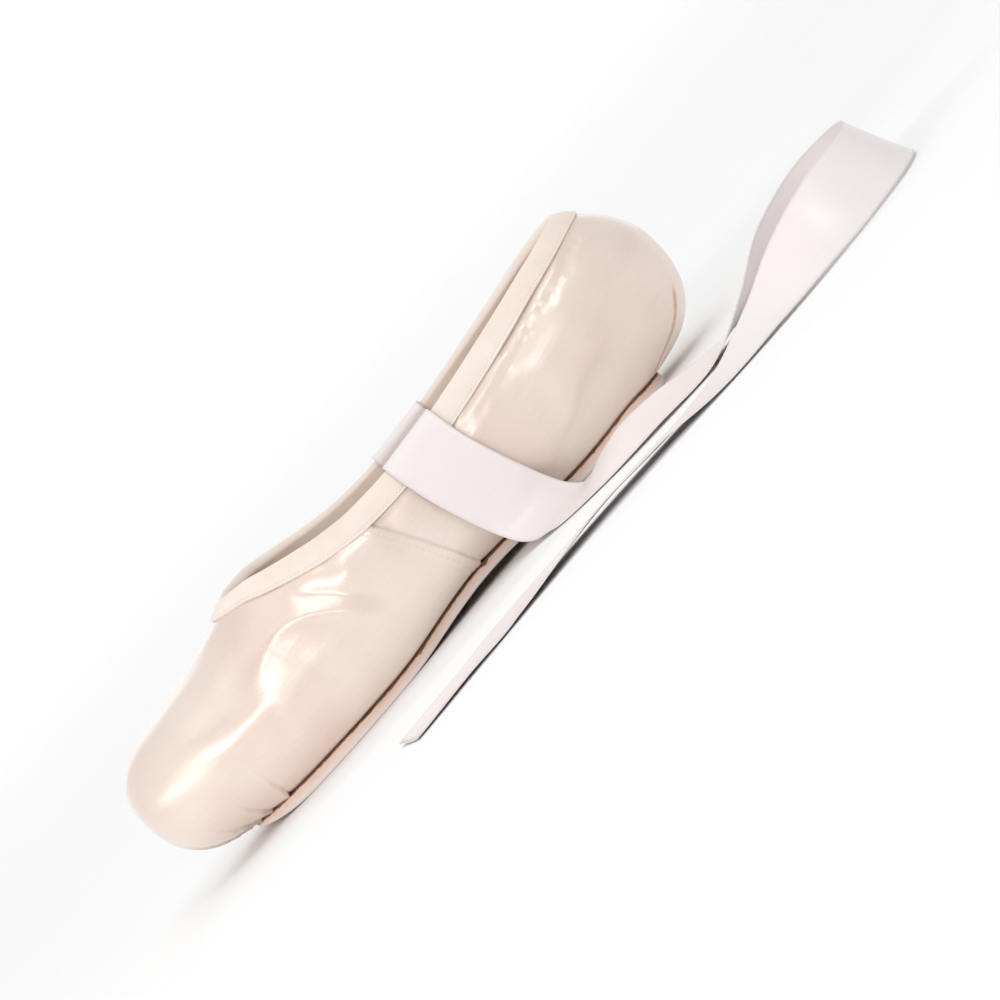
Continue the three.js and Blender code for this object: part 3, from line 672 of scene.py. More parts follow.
# %% The whole relief
WAVES = ((46, 0.14), (31, 0.1), (22, 0.07), (15, 0.045))
WAVES_OF_EACH = 3
LEFT_SEED, RIGHT_SEED = 11, 23
RIGHT_SHIFT, RIGHT_SHARE = (3.5, -1.5), 0.85


def slow_waves(seed):
    """A broad unevenness of cloth over a form: a few long waves with fixed random directions."""
    draw = np.random.default_rng(seed)
    lift = np.zeros(arc["y"].shape)
    for wavelength, height in WAVES:
        for _ in range(WAVES_OF_EACH):
            turn, phase = draw.uniform(0, 2 * np.pi, 2)
            way = math.cos(turn) * arc["back"] + math.sin(turn) * arc["girth"]
            lift += height * np.sin(2 * np.pi * way / wavelength + phase)
    middle = smooth(0, 10, arc["y"])
    return lift * middle * smooth(1, 9, arc["below"] + 30 * closed_top[:, None])


shared = toe_pleats() + heel_tuck() + collar_pull() + side_seam() + back_seam()
feather_height = underside(section(backs), np.maximum(sole_half(backs), 0))[:, None]
apart = smooth(0.5, 9, arc["y"])
held = smooth(0.3, 5, arc["z"] - feather_height)
left_folds = sum(fold(*row) for row in VAMP_FOLDS + QUARTER_FOLDS)
right_folds = RIGHT_SHARE * sum(fold(*row, shift=RIGHT_SHIFT) for row in VAMP_FOLDS + QUARTER_FOLDS)
relief_left = shared + held * (apart * left_folds + slow_waves(LEFT_SEED))
relief_right = shared + held * (apart * right_folds + slow_waves(RIGHT_SEED))
print("relief from", round(float(relief_left.min()), 2), "to", round(float(relief_left.max()), 2), "mm")

# %% [markdown]
# ## Sewing the shell together
# The left half and its mirror image become one closed skin: satin outside, lining inside, with the two
# joined along the collar and along the opening underneath. Where a half ends on the middle plane, its
# points meet those of the other half and are merged, so no seam is left in the mesh.

# %% Build the upper
MIRROR = np.array([1, -1, 1])
outer_left = skin + skin_out * relief_left[..., None]
outer_right = (skin + skin_out * relief_right[..., None]) * MIRROR
inner_left = skin - skin_out * WALL
inner_right = inner_left * MIRROR
rows, columns = arc["y"].shape
size = rows * columns


def rim_faces(column_index, start_outer, start_inner, is_open, flip):
    """Quads that join the outer and the inner skin along an open edge."""
    faces = []
    for i in range(rows - 1):
        if not (is_open[i] or is_open[i + 1]):
            continue
        a, b = i * columns + column_index, (i + 1) * columns + column_index
        quad = [start_outer + a, start_outer + b, start_inner + b, start_inner + a]
        faces.append(quad[::-1] if flip else quad)
    return faces


grid = grid_faces(rows, columns)
shell_faces = [grid[:, ::-1], grid + size, grid + 2 * size, grid[:, ::-1] + 3 * size]
satin_count = 2 * len(grid)
rim = []
for start, mirror in ((0, False), (size, True)):
    rim += rim_faces(columns - 1, start, start + 2 * size, ~closed_top, mirror)
    rim += rim_faces(0, start, start + 2 * size, ~closed_under, not mirror)
points = np.concatenate([p.reshape(-1, 3) for p in (outer_left, outer_right, inner_left, inner_right)])
faces = [list(f) for f in np.concatenate(shell_faces)] + rim
crown_girth = np.interp(backs, backs[closed_top], arc["girth"][closed_top, -1])[:, None]
flat_left = np.stack([arc["back"], arc["girth"]], -1).reshape(-1, 2)
flat_right = np.stack([arc["back"], 2 * crown_girth - arc["girth"]], -1).reshape(-1, 2)
uv = np.concatenate([flat_left, flat_right, flat_left, flat_right])
finishes = np.concatenate([np.zeros(satin_count), np.ones(satin_count), np.zeros(len(rim))])
tuck_above, tuck_share = tuck_distance()
tuck_map = np.stack([tuck_above, MM_IN_CM * tuck_share], -1).reshape(-1, 2)
tuck_maps = np.concatenate([tuck_map, tuck_map, 0 * tuck_map, 0 * tuck_map])
upper = cloth_piece("satin_upper", points, faces, uv, merge=True, finishes=finishes, lines_mm=tuck_maps)
in_place_of(upper, "upper")
upper_tree = BVHTree.FromObject(upper, bpy.context.evaluated_depsgraph_get())

# %% [markdown]
# ## The binding
# A cotton tape is folded over the raw edge of the collar and sewn through. Its section is a rounded channel
# that follows the collar all the way round, drawn in where the stitches hold it and a little full along the
# fold.

# %% Line of the collar and section of the tape
BINDING_GAP, BINDING_CLOTH = 0.45, 0.55
BED_SHARE, BED_LIFT, BED_OUT = 0.35, 0.3, 0.1
CREST_SHARE = 0.95
BINDING_STATIONS = 230
TAPE_STITCH_DEPTH = 6.1
TAPE_DEPTHS = np.array([BINDING_WIDTH, 7.05, 6.6, TAPE_STITCH_DEPTH, 5.5, 4.4, 3.0, 1.4, 0])
TAPE_FULLNESS, TAPE_DENT, TAPE_DENT_REACH = 0.1, 0.16, 0.4
TAPE_RIPPLE, TAPE_RIPPLE_LENGTHS = 0.05, (1.3, 2.1, 3.7)
TAPE_SEED = 5
CREST_TURNS = np.radians([20, 45, 70, 90, 110, 135, 160])


def collar_line(backs_of_line):
    """The collar's edge on the left side: points, the way out of the wall and the way down it."""
    y, z, _, _ = fine_arcs(backs_of_line)
    edge = np.stack([LENGTH / 2 - backs_of_line, y[:, -1], z[:, -1]], -1)
    edge[[0, -1], 1] = 0
    normal = outward(edge)
    normal[[0, -1], 1] = 0
    normal = unit(normal)
    mirror = edge * MIRROR
    padded = np.concatenate([mirror[1:2], edge, mirror[-2:-1]])
    down = unit(np.cross(padded[2:] - padded[:-2], normal))
    return edge, normal, down


tape_backs = eased(THROAT_BACK, HEEL_TOP_BACK, BINDING_STATIONS)
edge, edge_out, edge_down = collar_line(tape_backs)
fullness = TAPE_FULLNESS * np.sin(np.pi * np.clip(TAPE_DEPTHS / TAPE_STITCH_DEPTH, 0, 1))
fullness -= TAPE_DENT * np.exp(-(((TAPE_DEPTHS - TAPE_STITCH_DEPTH) / TAPE_DENT_REACH) ** 2))
phases = np.random.default_rng(TAPE_SEED).uniform(0, 6, len(TAPE_RIPPLE_LENGTHS))
ripple = sum(TAPE_RIPPLE * np.sin(tape_backs / length + p) for length, p in zip(TAPE_RIPPLE_LENGTHS, phases))
print("the tape's section has", len(TAPE_DEPTHS), "points a face")


# %% Build the binding
def tape_face(outside):
    """Points of one face of the tape, from its lower edge up to the collar's edge, inner and outer skin."""
    sign = 1 if outside else -1
    base = 0 if outside else -WALL
    skins = []
    for out in (BINDING_GAP * BED_SHARE, BINDING_GAP + BINDING_CLOTH):
        lines = []
        for depth, full in zip(TAPE_DEPTHS, fullness):
            p = onto_last(edge + edge_down * depth) if depth else edge
            n = outward(p) if depth else edge_out
            p[[0, -1], 1] = 0
            n[[0, -1], 1] = 0
            wave = ripple * math.sin(math.pi * depth / BINDING_WIDTH)
            lift = base + sign * (out + (full + wave if out > BINDING_GAP else 0))
            lines.append(p + unit(n) * np.reshape(lift, (-1, 1)))
        skins.append(lines)
    return skins


face_height = BINDING_GAP + BINDING_CLOTH
crest = [
    edge
    - edge_down * (face_height * CREST_SHARE * math.sin(t))
    + edge_out * (-WALL / 2 + (WALL / 2 + face_height) * math.cos(t))
    for t in CREST_TURNS
]
bed = [edge - edge_down * BED_LIFT + edge_out * out for out in (BED_OUT, -WALL - BED_OUT)]
outer_tape, inner_tape = tape_face(True), tape_face(False)
ring = outer_tape[1] + crest + inner_tape[1][::-1] + inner_tape[0] + bed[::-1] + outer_tape[0][::-1]
left_rings = np.stack(ring, 1)
count = left_rings.shape[1]
stations = len(tape_backs)
tape_faces = grid_faces(stations, count, wrap=True)
tape_points = np.concatenate([left_rings.reshape(-1, 3), (left_rings * MIRROR).reshape(-1, 3)])
ring_run, edge_run = run_along(left_rings[stations // 2]), run_along(edge)
tape_uv = np.stack(np.broadcast_arrays(edge_run[:, None], ring_run[None]), -1).reshape(-1, 2)
tape_faces = np.concatenate([tape_faces, tape_faces[:, ::-1] + stations * count])
tape_uv = np.concatenate([tape_uv, -tape_uv])
binding = cloth_piece("collar_binding", tape_points, tape_faces, tape_uv, merge=True)
in_place_of(binding, "binding")
print("binding runs", round(2 * edge_run[-1]), "mm round the collar")

# %% [markdown]
# ## The outsole
# The sole is one piece of leather, cut narrower than the shoe and shorter than it, skived thin at the tip.
# The part that shows is its edge: pinkish tan, rounded below, with a dark feather line at the top where the
# leather was slit and the satin turned in. That line is a real groove here, so that it stays dark from any
# side.

# %% Edge of the outsole
SOLE_STATIONS = 220
SOLE_TIP_THICKNESS = 1.6
SOLE_SKIVE_LENGTH = 22
SOLE_ACROSS = 17
# Points down the edge: how far below its top, and how far outside the outline.
SOLE_EDGE = [
    (0.08, -0.3), (0.28, -0.38), (0.46, -0.28), (0.6, -0.02), (0.85, 0.12), (1.3, 0.18), (1.9, 0.2),
    (2.4, 0.15), (2.9, 0.02), (3.25, -0.2), (3.5, -0.5), (SOLE_THICKNESS, -0.95),
]
GROOVE_END = 0.85
NARROW_HALF = 4
# The lip of the groove wavers by this share of three waves: their height, length and start.
WAVER_FROM, WAVER_TO, WAVER_SHARE = 0.2, 0.7, 0.5
WAVERS = ((0.12, 7.3, 0), (0.08, 2.9, 1.3), (0.05, 1.3, 0.4))
# The drop that the UV map gives to the top and to the bottom of the sole, beyond those of the edge.
TOP_DROP, UNDER_DROP = -2.0, 9.0
print("the sole's edge has", len(SOLE_EDGE), "points from top to bottom")

# %% Build the outsole
sole_backs = eased(SOLE_FRONT, SOLE_REAR, SOLE_STATIONS)
sole_section = section(sole_backs)
half = sole_half(sole_backs)
half[[0, -1]] = 0
skive = np.sin(np.pi / 2 * np.clip((sole_backs - SOLE_FRONT) / SOLE_SKIVE_LENGTH, 0, 1))
thickness = SOLE_TIP_THICKNESS + (SOLE_THICKNESS - SOLE_TIP_THICKNESS) * skive
bottom = sole_section["keel"] - GAP - thickness
shares = np.sin(np.linspace(0, np.pi / 2, SOLE_ACROSS))
ring_lines, drops = [], []
for share in shares:
    ring_lines.append(np.stack([half * share, underside(sole_section, half * share) - GAP], -1))
    drops.append(np.full(len(sole_backs), TOP_DROP))
edge_top = ring_lines[-1][:, 1]
edge_height = edge_top - bottom
narrow = np.clip(half / NARROW_HALF, 0, 1)
waver = sum(height * np.sin(sole_backs / length + phase) for height, length, phase in WAVERS)
for drop, out in SOLE_EDGE:
    below_groove = (drop - GROOVE_END) / (SOLE_THICKNESS - GROOVE_END)
    z = edge_top - (drop if drop <= GROOVE_END else GROOVE_END + (edge_height - GROOVE_END) * below_groove)
    on_lip = WAVER_FROM < drop < WAVER_TO
    y = np.maximum(half + (out + WAVER_SHARE * waver * on_lip) * narrow, 0)
    ring_lines.append(np.stack([y, z], -1))
    drops.append(np.full(len(sole_backs), drop))
for share in shares[-2::-1]:
    y = np.minimum(half * share, ring_lines[-1][:, 0])
    ring_lines.append(np.stack([y, bottom], -1))
    drops.append(np.full(len(sole_backs), UNDER_DROP))
half_ring = np.stack(ring_lines, 1)
drop_ring = np.stack(drops, 1)
x = np.broadcast_to((LENGTH / 2 - sole_backs)[:, None, None], half_ring.shape[:2] + (1,))
sole_left = np.concatenate([x, half_ring], -1)
sole_grid = grid_faces(*sole_left.shape[:2])
sole_points = np.concatenate([sole_left.reshape(-1, 3), (sole_left * MIRROR).reshape(-1, 3)])
sole_uv = np.stack(np.broadcast_arrays(sole_backs[:, None], drop_ring), -1).reshape(-1, 2)
sole_faces = np.concatenate([sole_grid, sole_grid[:, ::-1] + len(sole_uv)])
outsole = cloth_piece("leather_outsole", sole_points, sole_faces, np.tile(sole_uv, (2, 1)), merge=True)
in_place_of(outsole, "outsole")

# %% [markdown]
# ## The insole
# Inside the shoe a thin sock of cloth lies on the turned-in edges of the upper. It is a simple lens of
# cloth that follows the inside of the last, seen only through the collar.

# %% Build the insole
INSOLE_STATIONS = 120
INSOLE_ACROSS = 17
INSOLE_THICKNESS = 1.4
INSOLE_GAP = 0.45
INSOLE_ROUND, INSOLE_ROUND_SHARE = 0.35, 0.08
insole_backs = eased(INSOLE[0], INSOLE[1], INSOLE_STATIONS)
insole_half = sole_copy_half(insole_backs, *INSOLE)
insole_half[[0, -1]] = 0
insole_section = section(insole_backs)
across_shares = np.sin(np.linspace(-np.pi / 2, np.pi / 2, INSOLE_ACROSS))
sides = insole_half[:, None] * across_shares[None]
floor_of_last = underside({name: v[:, None] for name, v in insole_section.items()}, sides) + WALL + INSOLE_GAP
from_edge = np.clip(1 - np.abs(across_shares), 0, INSOLE_ROUND_SHARE)
rounded = INSOLE_ROUND * (1 - from_edge / INSOLE_ROUND_SHARE)[None]
length_way = np.broadcast_to((LENGTH / 2 - insole_backs)[:, None], sides.shape)
upper_face = np.stack([length_way, sides, floor_of_last + INSOLE_THICKNESS - rounded], -1)
lower_face = np.stack([length_way, sides, floor_of_last + rounded], -1)
insole_ring = np.concatenate([upper_face, lower_face[:, ::-1]], 1)
insole_uv = np.stack([insole_ring[..., 0], insole_ring[..., 1]], -1).reshape(-1, 2)
insole_faces = grid_faces(*insole_ring.shape[:2], wrap=True)[:, ::-1]
insole = cloth_piece("cloth_insole", insole_ring.reshape(-1, 3), insole_faces, insole_uv, merge=True)
in_place_of(insole, "insole")

# %% [markdown]
# ## Helpers for finishes
# A finish is a small tree of nodes in front of one Principled shader. Two helpers keep the trees short to
# read: one makes a material, the other makes a node, fills its sockets and links what is already there. The
# rest are short names for the nodes that come up again and again.

# %% Finish helpers
def new_finish(name, **sockets):
    """A material, its node tree and its shader, with the shader's constant sockets set."""
    material = bpy.data.materials.new(name)
    material.use_nodes = True
    tree = material.node_tree
    shader = tree.nodes["Principled BSDF"]
    for key, value in sockets.items():
        shader.inputs[key.replace("_", " ")].default_value = value
    return material, tree, shader


def add(tree, kind, links=None, **settings):
    """A node in the tree. Links maps its sockets to values, or to outputs of other nodes."""
    made = tree.nodes.new(kind)
    for key, value in settings.items():
        setattr(made, key, value)
    for key, value in (links or {}).items():
        if isinstance(value, bpy.types.NodeSocket):
            tree.links.new(value, made.inputs[key])
        else:
            made.inputs[key].default_value = value
    return made


def ramp(tree, factor, stops):
    """A colour ramp with the given (position, colour) stops; its colour output is returned."""
    made = add(tree, "ShaderNodeValToRGB", {"Fac": factor})
    while len(made.color_ramp.elements) < len(stops):
        made.color_ramp.elements.new(0.5)
    for element, (position, colour) in zip(made.color_ramp.elements, stops):
        element.position = position
        element.color = (*colour, 1)
    return made.outputs["Color"]


def noise(tree, coordinates, scale, detail=3, roughness=0.5):
    """Soft random patches from 0 to 1, smaller as the scale grows."""
    links = {"Vector": coordinates, "Scale": scale, "Detail": detail, "Roughness": roughness}
    return add(tree, "ShaderNodeTexNoise", links).outputs["Fac"]


def stretched(tree, coordinates, scale):
    """Coordinates with their own scale along each axis, which draws patches out into threads."""
    return add(tree, "ShaderNodeMapping", {"Vector": coordinates, "Scale": scale}).outputs["Vector"]


def bump(tree, height, strength, distance_mm, under=None):
    """A relief for the shader's normal, on top of the one under it if there is one."""
    links = {"Height": height, "Strength": strength, "Distance": distance_mm * MM}
    if under is not None:
        links["Normal"] = under
    return add(tree, "ShaderNodeBump", links).outputs["Normal"]


def maths(tree, operation, *values):
    """One step of arithmetic on values or sockets."""
    return add(tree, "ShaderNodeMath", dict(enumerate(values)), operation=operation).outputs[0]


def weighed(tree, first, weight, second, second_weight):
    """The sum of two values, each times its weight."""
    return maths(tree, "MULTIPLY_ADD", first, weight, maths(tree, "MULTIPLY", second, second_weight))


def between(tree, value, low, high):
    """0 where the value is low, 1 where it is high, and straight between. Low may be the larger."""
    links = {"Value": value, "From Min": low, "From Max": high}
    return add(tree, "ShaderNodeMapRange", links).outputs[0]


def mixed(tree, factor, first, second, blend="MIX"):
    """One colour turned into another as the factor grows. A colour is three numbers, or a socket."""
    colours = [c if isinstance(c, bpy.types.NodeSocket) else (*c, 1) for c in (first, second)]
    links = {0: factor, 6: colours[0], 7: colours[1]}
    return add(tree, "ShaderNodeMix", links, data_type="RGBA", blend_type=blend).outputs[2]


def object_place(tree):
    """Where a point lies on the shoe, in metres."""
    return add(tree, "ShaderNodeTexCoord").outputs["Object"]


def map_place(tree, uv_map="cloth"):
    """Where a point lies on a UV map, in centimetres."""
    return add(tree, "ShaderNodeUVMap", uv_map=uv_map).outputs["UV"]


def axes_of(tree, vector):
    """The X, Y and Z of a place."""
    return add(tree, "ShaderNodeSeparateXYZ", {"Vector": vector}).outputs


def along_threads(tree):
    """The way of the threads, which turns the gloss."""
    return add(tree, "ShaderNodeTangent", direction_type="UV_MAP", uv_map="cloth").outputs["Tangent"]


def dress(piece, material):
    """Gives a piece its next finish."""
    piece.data.materials.append(material)
    print(piece.name, "wears", material.name, "of", len(material.node_tree.nodes), "nodes")


# %% [markdown]
# ## Satin
# Satin is woven with long floats of thread along one way, so its gloss is broad across the threads and
# tight along them. The shader's anisotropy gives that, turned by the cloth's own UV map. A fine stretched
# noise roughens it as threads do, and slow patches of pinker and paler colour keep it from looking like
# paint. The sharp line of the heel's tuck would need a very fine mesh, so its crease is painted here
# instead: a dark line of painted shade along the tuck, with the satin below it painted paler. A second UV
# map holds the distance from the tuck.

# %% Satin of the upper
satin, tree, shader = new_finish(
    "peach_satin", Metallic=0.18, Specular_IOR_Level=0.9, Anisotropic=0.4, Coat_Weight=0.5,
    Coat_Roughness=0.21, Sheen_Weight=0.12, Sheen_Roughness=0.4,
)
where, cloth = object_place(tree), map_place(tree)
patches = noise(tree, where, 26, 2)
pinker, middling, paler = (0.80, 0.625, 0.54), (0.83, 0.685, 0.595), (0.86, 0.74, 0.655)
colour = ramp(tree, patches, [(0.3, pinker), (0.5, middling), (0.7, paler)])
threads = noise(tree, stretched(tree, cloth, (4, 70, 1)), 1, 2)
slubs = noise(tree, stretched(tree, cloth, (0.9, 13, 1)), 1, 3)
shade = maths(tree, "MULTIPLY_ADD", slubs, 0.09, maths(tree, "MULTIPLY_ADD", threads, 0.06, 0.925))
colour = mixed(tree, 1.0, colour, shade, "MULTIPLY")
# The map's X is the distance above the tuck in centimetres, and its Y is the share of the tuck that is there.
tuck = axes_of(tree, map_place(tree, "lines"))
tuck_step = maths(tree, "MULTIPLY", between(tree, tuck["X"], 0.03, -0.03), tuck["Y"])
# Painted shade: a dark line along the tuck stands for the shadow in its crease.
tuck_painted_shade = between(tree, maths(tree, "ABSOLUTE", tuck["X"]), 0.06, 0.01)
tuck_painted_shade = maths(tree, "MULTIPLY", tuck_painted_shade, maths(tree, "MULTIPLY", tuck["Y"], 0.75))
# The satin below the tuck is painted paler, and the tuck's line is painted dark as the shadow of its crease.
colour = mixed(tree, maths(tree, "MULTIPLY", tuck_step, 0.3), colour, (0.88, 0.77, 0.69))
colour = mixed(tree, tuck_painted_shade, colour, (0.42, 0.27, 0.20))
tree.links.new(colour, shader.inputs["Base Color"])
tree.links.new(maths(tree, "MULTIPLY_ADD", threads, 0.12, 0.25), shader.inputs["Roughness"])
cockle = noise(tree, where, 170, 2)
normal = bump(tree, cockle, 0.4, 0.2)
normal = bump(tree, tuck_step, 0.5, 0.3, normal)
normal = bump(tree, slubs, 0.45, 0.07, normal)
normal = bump(tree, threads, 0.25, 0.03, normal)
tree.links.new(normal, shader.inputs["Normal"])
tree.links.new(along_threads(tree), shader.inputs["Tangent"])
dress(upper, satin)

# %% [markdown]
# ## Lining, binding tape and insole cloth
# These three are plain matt cottons. A woven cloth is two sets of threads that go over and under each
# other, so two wave textures across each other make the bump, and a little noise makes the threads uneven.

# %% Cotton finishes
def cotton(name, dark, pale, threads_per_cm, twill=False):
    """A plain weave, or a slanted twill, between a dark and a pale colour."""
    material, tree, shader = new_finish(name, Roughness=0.9, Specular_IOR_Level=0.25, Sheen_Weight=0.2)
    where, cloth = object_place(tree), map_place(tree)
    turn = math.radians(45 if twill else 0)
    turned = add(tree, "ShaderNodeMapping", {"Vector": cloth, "Rotation": (0, 0, turn)}).outputs["Vector"]
    waves = []
    for way in ("X",) if twill else ("X", "Y"):
        links = {"Vector": turned, "Scale": threads_per_cm / 3.2, "Distortion": 0.6, "Detail": 1.0}
        waves.append(add(tree, "ShaderNodeTexWave", links, bands_direction=way).outputs["Fac"])
    weave = waves[0] if twill else maths(tree, "MAXIMUM", *waves)
    patches = noise(tree, where, 60, 3)
    tone = weighed(tree, weave, 0.14, patches, 0.86)
    tree.links.new(ramp(tree, tone, [(0.25, dark), (0.75, pale)]), shader.inputs["Base Color"])
    tree.links.new(bump(tree, weave, 0.25, 0.06), shader.inputs["Normal"])
    return material


dress(upper, cotton("lining_cotton", (0.70, 0.57, 0.48), (0.80, 0.68, 0.59), 9))
dress(binding, cotton("binding_cotton", (0.83, 0.70, 0.61), (0.90, 0.80, 0.725), 18, twill=True))
dress(insole, cotton("insole_cotton", (0.70, 0.59, 0.48), (0.80, 0.70, 0.60), 16))

# %% [markdown]
# ## Ribbon satin
# The ribbons are a paler, whiter satin than the shoe. Their threads run along the length, and each edge has
# a close-woven selvedge, told from the rest by how far across the ribbon a point lies.

# %% Satin of the ribbons
SELVEDGE_FROM_CM = 1.04
ribbon_satin, tree, shader = new_finish(
    "ribbon_satin", Specular_IOR_Level=0.5, Anisotropic=0.4, Coat_Weight=0.2, Coat_Roughness=0.25,
    Sheen_Weight=0.1,
)
cloth = map_place(tree)
threads = noise(tree, stretched(tree, cloth, (1.5, 60, 1)), 1, 2)
across = maths(tree, "ABSOLUTE", axes_of(tree, cloth)["Y"])
edge_share = maths(tree, "GREATER_THAN", across, SELVEDGE_FROM_CM)
tone = ramp(tree, threads, [(0.25, (0.83, 0.77, 0.76)), (0.75, (0.87, 0.815, 0.805))])
tree.links.new(mixed(tree, edge_share, tone, (0.80, 0.73, 0.71)), shader.inputs["Base Color"])
dullness = maths(tree, "MULTIPLY_ADD", edge_share, 0.25, maths(tree, "MULTIPLY_ADD", threads, 0.1, 0.3))
tree.links.new(dullness, shader.inputs["Roughness"])
ribs = add(tree, "ShaderNodeTexWave", {"Vector": cloth, "Scale": 7.0}, bands_direction="X").outputs["Fac"]
normal = bump(tree, threads, 0.18, 0.03)
normal = bump(tree, maths(tree, "MULTIPLY", ribs, edge_share), 0.5, 0.06, normal)
tree.links.new(normal, shader.inputs["Normal"])
tree.links.new(along_threads(tree), shader.inputs["Tangent"])
for piece in (left_ribbon, right_ribbon):
    dress(piece, ribbon_satin)

# %% [markdown]
# ## Sole leather
# The edge of the sole is cut leather: pinkish tan, a little fibrous along its length, paler at the bottom
# where it is bevelled. The feather line at the top is stained dark brown with a ragged border. The sole's
# UV map holds the drop below the top edge, so the stain follows the edge wherever it goes. Underneath,
# where the drop is largest, the leather is a scuffed suede.

# %% Leather of the sole's edge
SEAM_FOOT_BACK = 126
leather, tree, shader = new_finish("sole_leather", Specular_IOR_Level=0.3)
where = object_place(tree)
drop = maths(tree, "MULTIPLY", axes_of(tree, map_place(tree))["Y"], MM_IN_CM)
fibres = noise(tree, stretched(tree, where, (160, 900, 1400)), 1, 4, 0.6)
blotches = noise(tree, where, 70, 3)
tans = [(0.3, (0.72, 0.50, 0.39)), (0.5, (0.80, 0.60, 0.49)), (0.72, (0.87, 0.70, 0.60))]
tan = ramp(tree, weighed(tree, fibres, 0.5, blotches, 0.5), tans)
# The edge turns paler towards its bottom.
paler_towards_bottom = add(tree, "ShaderNodeClamp", {"Value": maths(tree, "MULTIPLY_ADD", drop, 0.62, -0.85)}).outputs[0]
tan = mixed(tree, paler_towards_bottom, tan, (0.86, 0.77, 0.745))
ragged = noise(tree, where, 420, 4, 0.65)
blobs = between(tree, noise(tree, where, 190, 2), 0.62, 0.72)
reach = weighed(tree, blobs, 0.45, ragged, 0.9)
seam_foot = (LENGTH / 2 - SEAM_FOOT_BACK) * MM
from_seam = maths(tree, "ABSOLUTE", maths(tree, "SUBTRACT", axes_of(tree, where)["X"], seam_foot))
reach = maths(tree, "MULTIPLY_ADD", between(tree, from_seam, 1.9 * MM, 0.3 * MM), 0.7, reach)
stain = between(tree, maths(tree, "SUBTRACT", reach, drop), -0.24, -0.08)
brown = ramp(tree, fibres, [(0.3, (0.15, 0.068, 0.04)), (0.7, (0.34, 0.175, 0.11))])
edge_colour = mixed(tree, stain, tan, brown)
print("the stain of the feather line is darkest", SEAM_FOOT_BACK, "mm behind the toe")

# %% Suede under the sole
mottle = weighed(tree, noise(tree, where, 48, 4, 0.6), 0.6, fibres, 0.4)
suede = ramp(tree, mottle, [(0.3, (0.56, 0.42, 0.33)), (0.5, (0.68, 0.53, 0.43)), (0.7, (0.76, 0.62, 0.52))])
streaks = noise(tree, stretched(tree, where, (40, 260, 1)), 1, 3, 0.6)
scuffs = maths(tree, "MULTIPLY", between(tree, streaks, 0.55, 0.72), 0.4)
suede = mixed(tree, scuffs, suede, (0.42, 0.33, 0.28))
under = between(tree, drop, SOLE_THICKNESS + 0.1, 5.0)
tree.links.new(mixed(tree, under, edge_colour, suede), shader.inputs["Base Color"])
tree.links.new(maths(tree, "MULTIPLY_ADD", fibres, 0.25, 0.6), shader.inputs["Roughness"])
grain = add(tree, "ShaderNodeTexVoronoi", {"Vector": where, "Scale": 1100}).outputs["Distance"]
normal = bump(tree, fibres, 0.5, 0.1, bump(tree, grain, 0.25, 0.08))
tree.links.new(normal, shader.inputs["Normal"])
dress(outsole, leather)

# %% [markdown]
# ## Stitches
# Hundreds of small stitches repeat along the seams, which is what Geometry Nodes are for. The tree takes a
# line of edges, lays points along it at the pitch of the stitch, and puts one short arched thread on each,
# turned along the line and away from the cloth. It ends in Realize Instances, and the result is turned into
# a plain mesh.

# %% The stitch tree
SUNK_SHARE, ARCH_SHARE = -0.55, 0.9
WANDER = 0.09


def one_stitch(tree, length, thickness):
    """A short arched thread along X whose two ends are sunk in the cloth."""
    reach = maths(tree, "MULTIPLY", length, 0.5)
    back = maths(tree, "MULTIPLY", reach, -1.0)
    sunk = maths(tree, "MULTIPLY", thickness, SUNK_SHARE)
    arch = maths(tree, "MULTIPLY", thickness, ARCH_SHARE)
    ends = [add(tree, "ShaderNodeCombineXYZ", {"X": x, "Z": sunk}).outputs[0] for x in (back, reach)]
    middle = add(tree, "ShaderNodeCombineXYZ", {"Z": arch}).outputs[0]
    links = {"Resolution": 5, "Start": ends[0], "Middle": middle, "End": ends[1]}
    thread = add(tree, "GeometryNodeCurveQuadraticBezier", links).outputs["Curve"]
    links = {"Resolution": 6, "Radius": maths(tree, "MULTIPLY", thickness, 0.5)}
    circle = add(tree, "GeometryNodeCurvePrimitiveCircle", links, mode="RADIUS").outputs["Curve"]
    links = {"Curve": thread, "Profile Curve": circle, "Fill Caps": True}
    return add(tree, "GeometryNodeCurveToMesh", links).outputs["Mesh"]


def along_and_out(tree, seed):
    """The turn of each stitch: along its line, away from the cloth, and a little astray."""
    align, pick = "FunctionNodeAlignRotationToVector", "GeometryNodeInputNamedAttribute"
    tangent = add(tree, "GeometryNodeInputTangent").outputs["Tangent"]
    out = add(tree, pick, {"Name": "out"}, data_type="FLOAT_VECTOR").outputs["Attribute"]
    turn = add(tree, align, {"Vector": tangent}, axis="X").outputs["Rotation"]
    turn = add(tree, align, {"Rotation": turn, "Vector": out}, axis="Z", pivot_axis="X").outputs["Rotation"]
    links = {"Min": (0.0, 0.0, -WANDER), "Max": (0.0, 0.0, WANDER), "Seed": seed}
    astray = add(tree, "FunctionNodeRandomValue", links, data_type="FLOAT_VECTOR").outputs["Value"]
    astray = add(tree, "FunctionNodeEulerToRotation", {"Euler": astray}).outputs["Rotation"]
    links = {"Rotation": turn, "Rotate By": astray}
    return add(tree, "FunctionNodeRotateRotation", links, rotation_space="LOCAL").outputs["Rotation"]


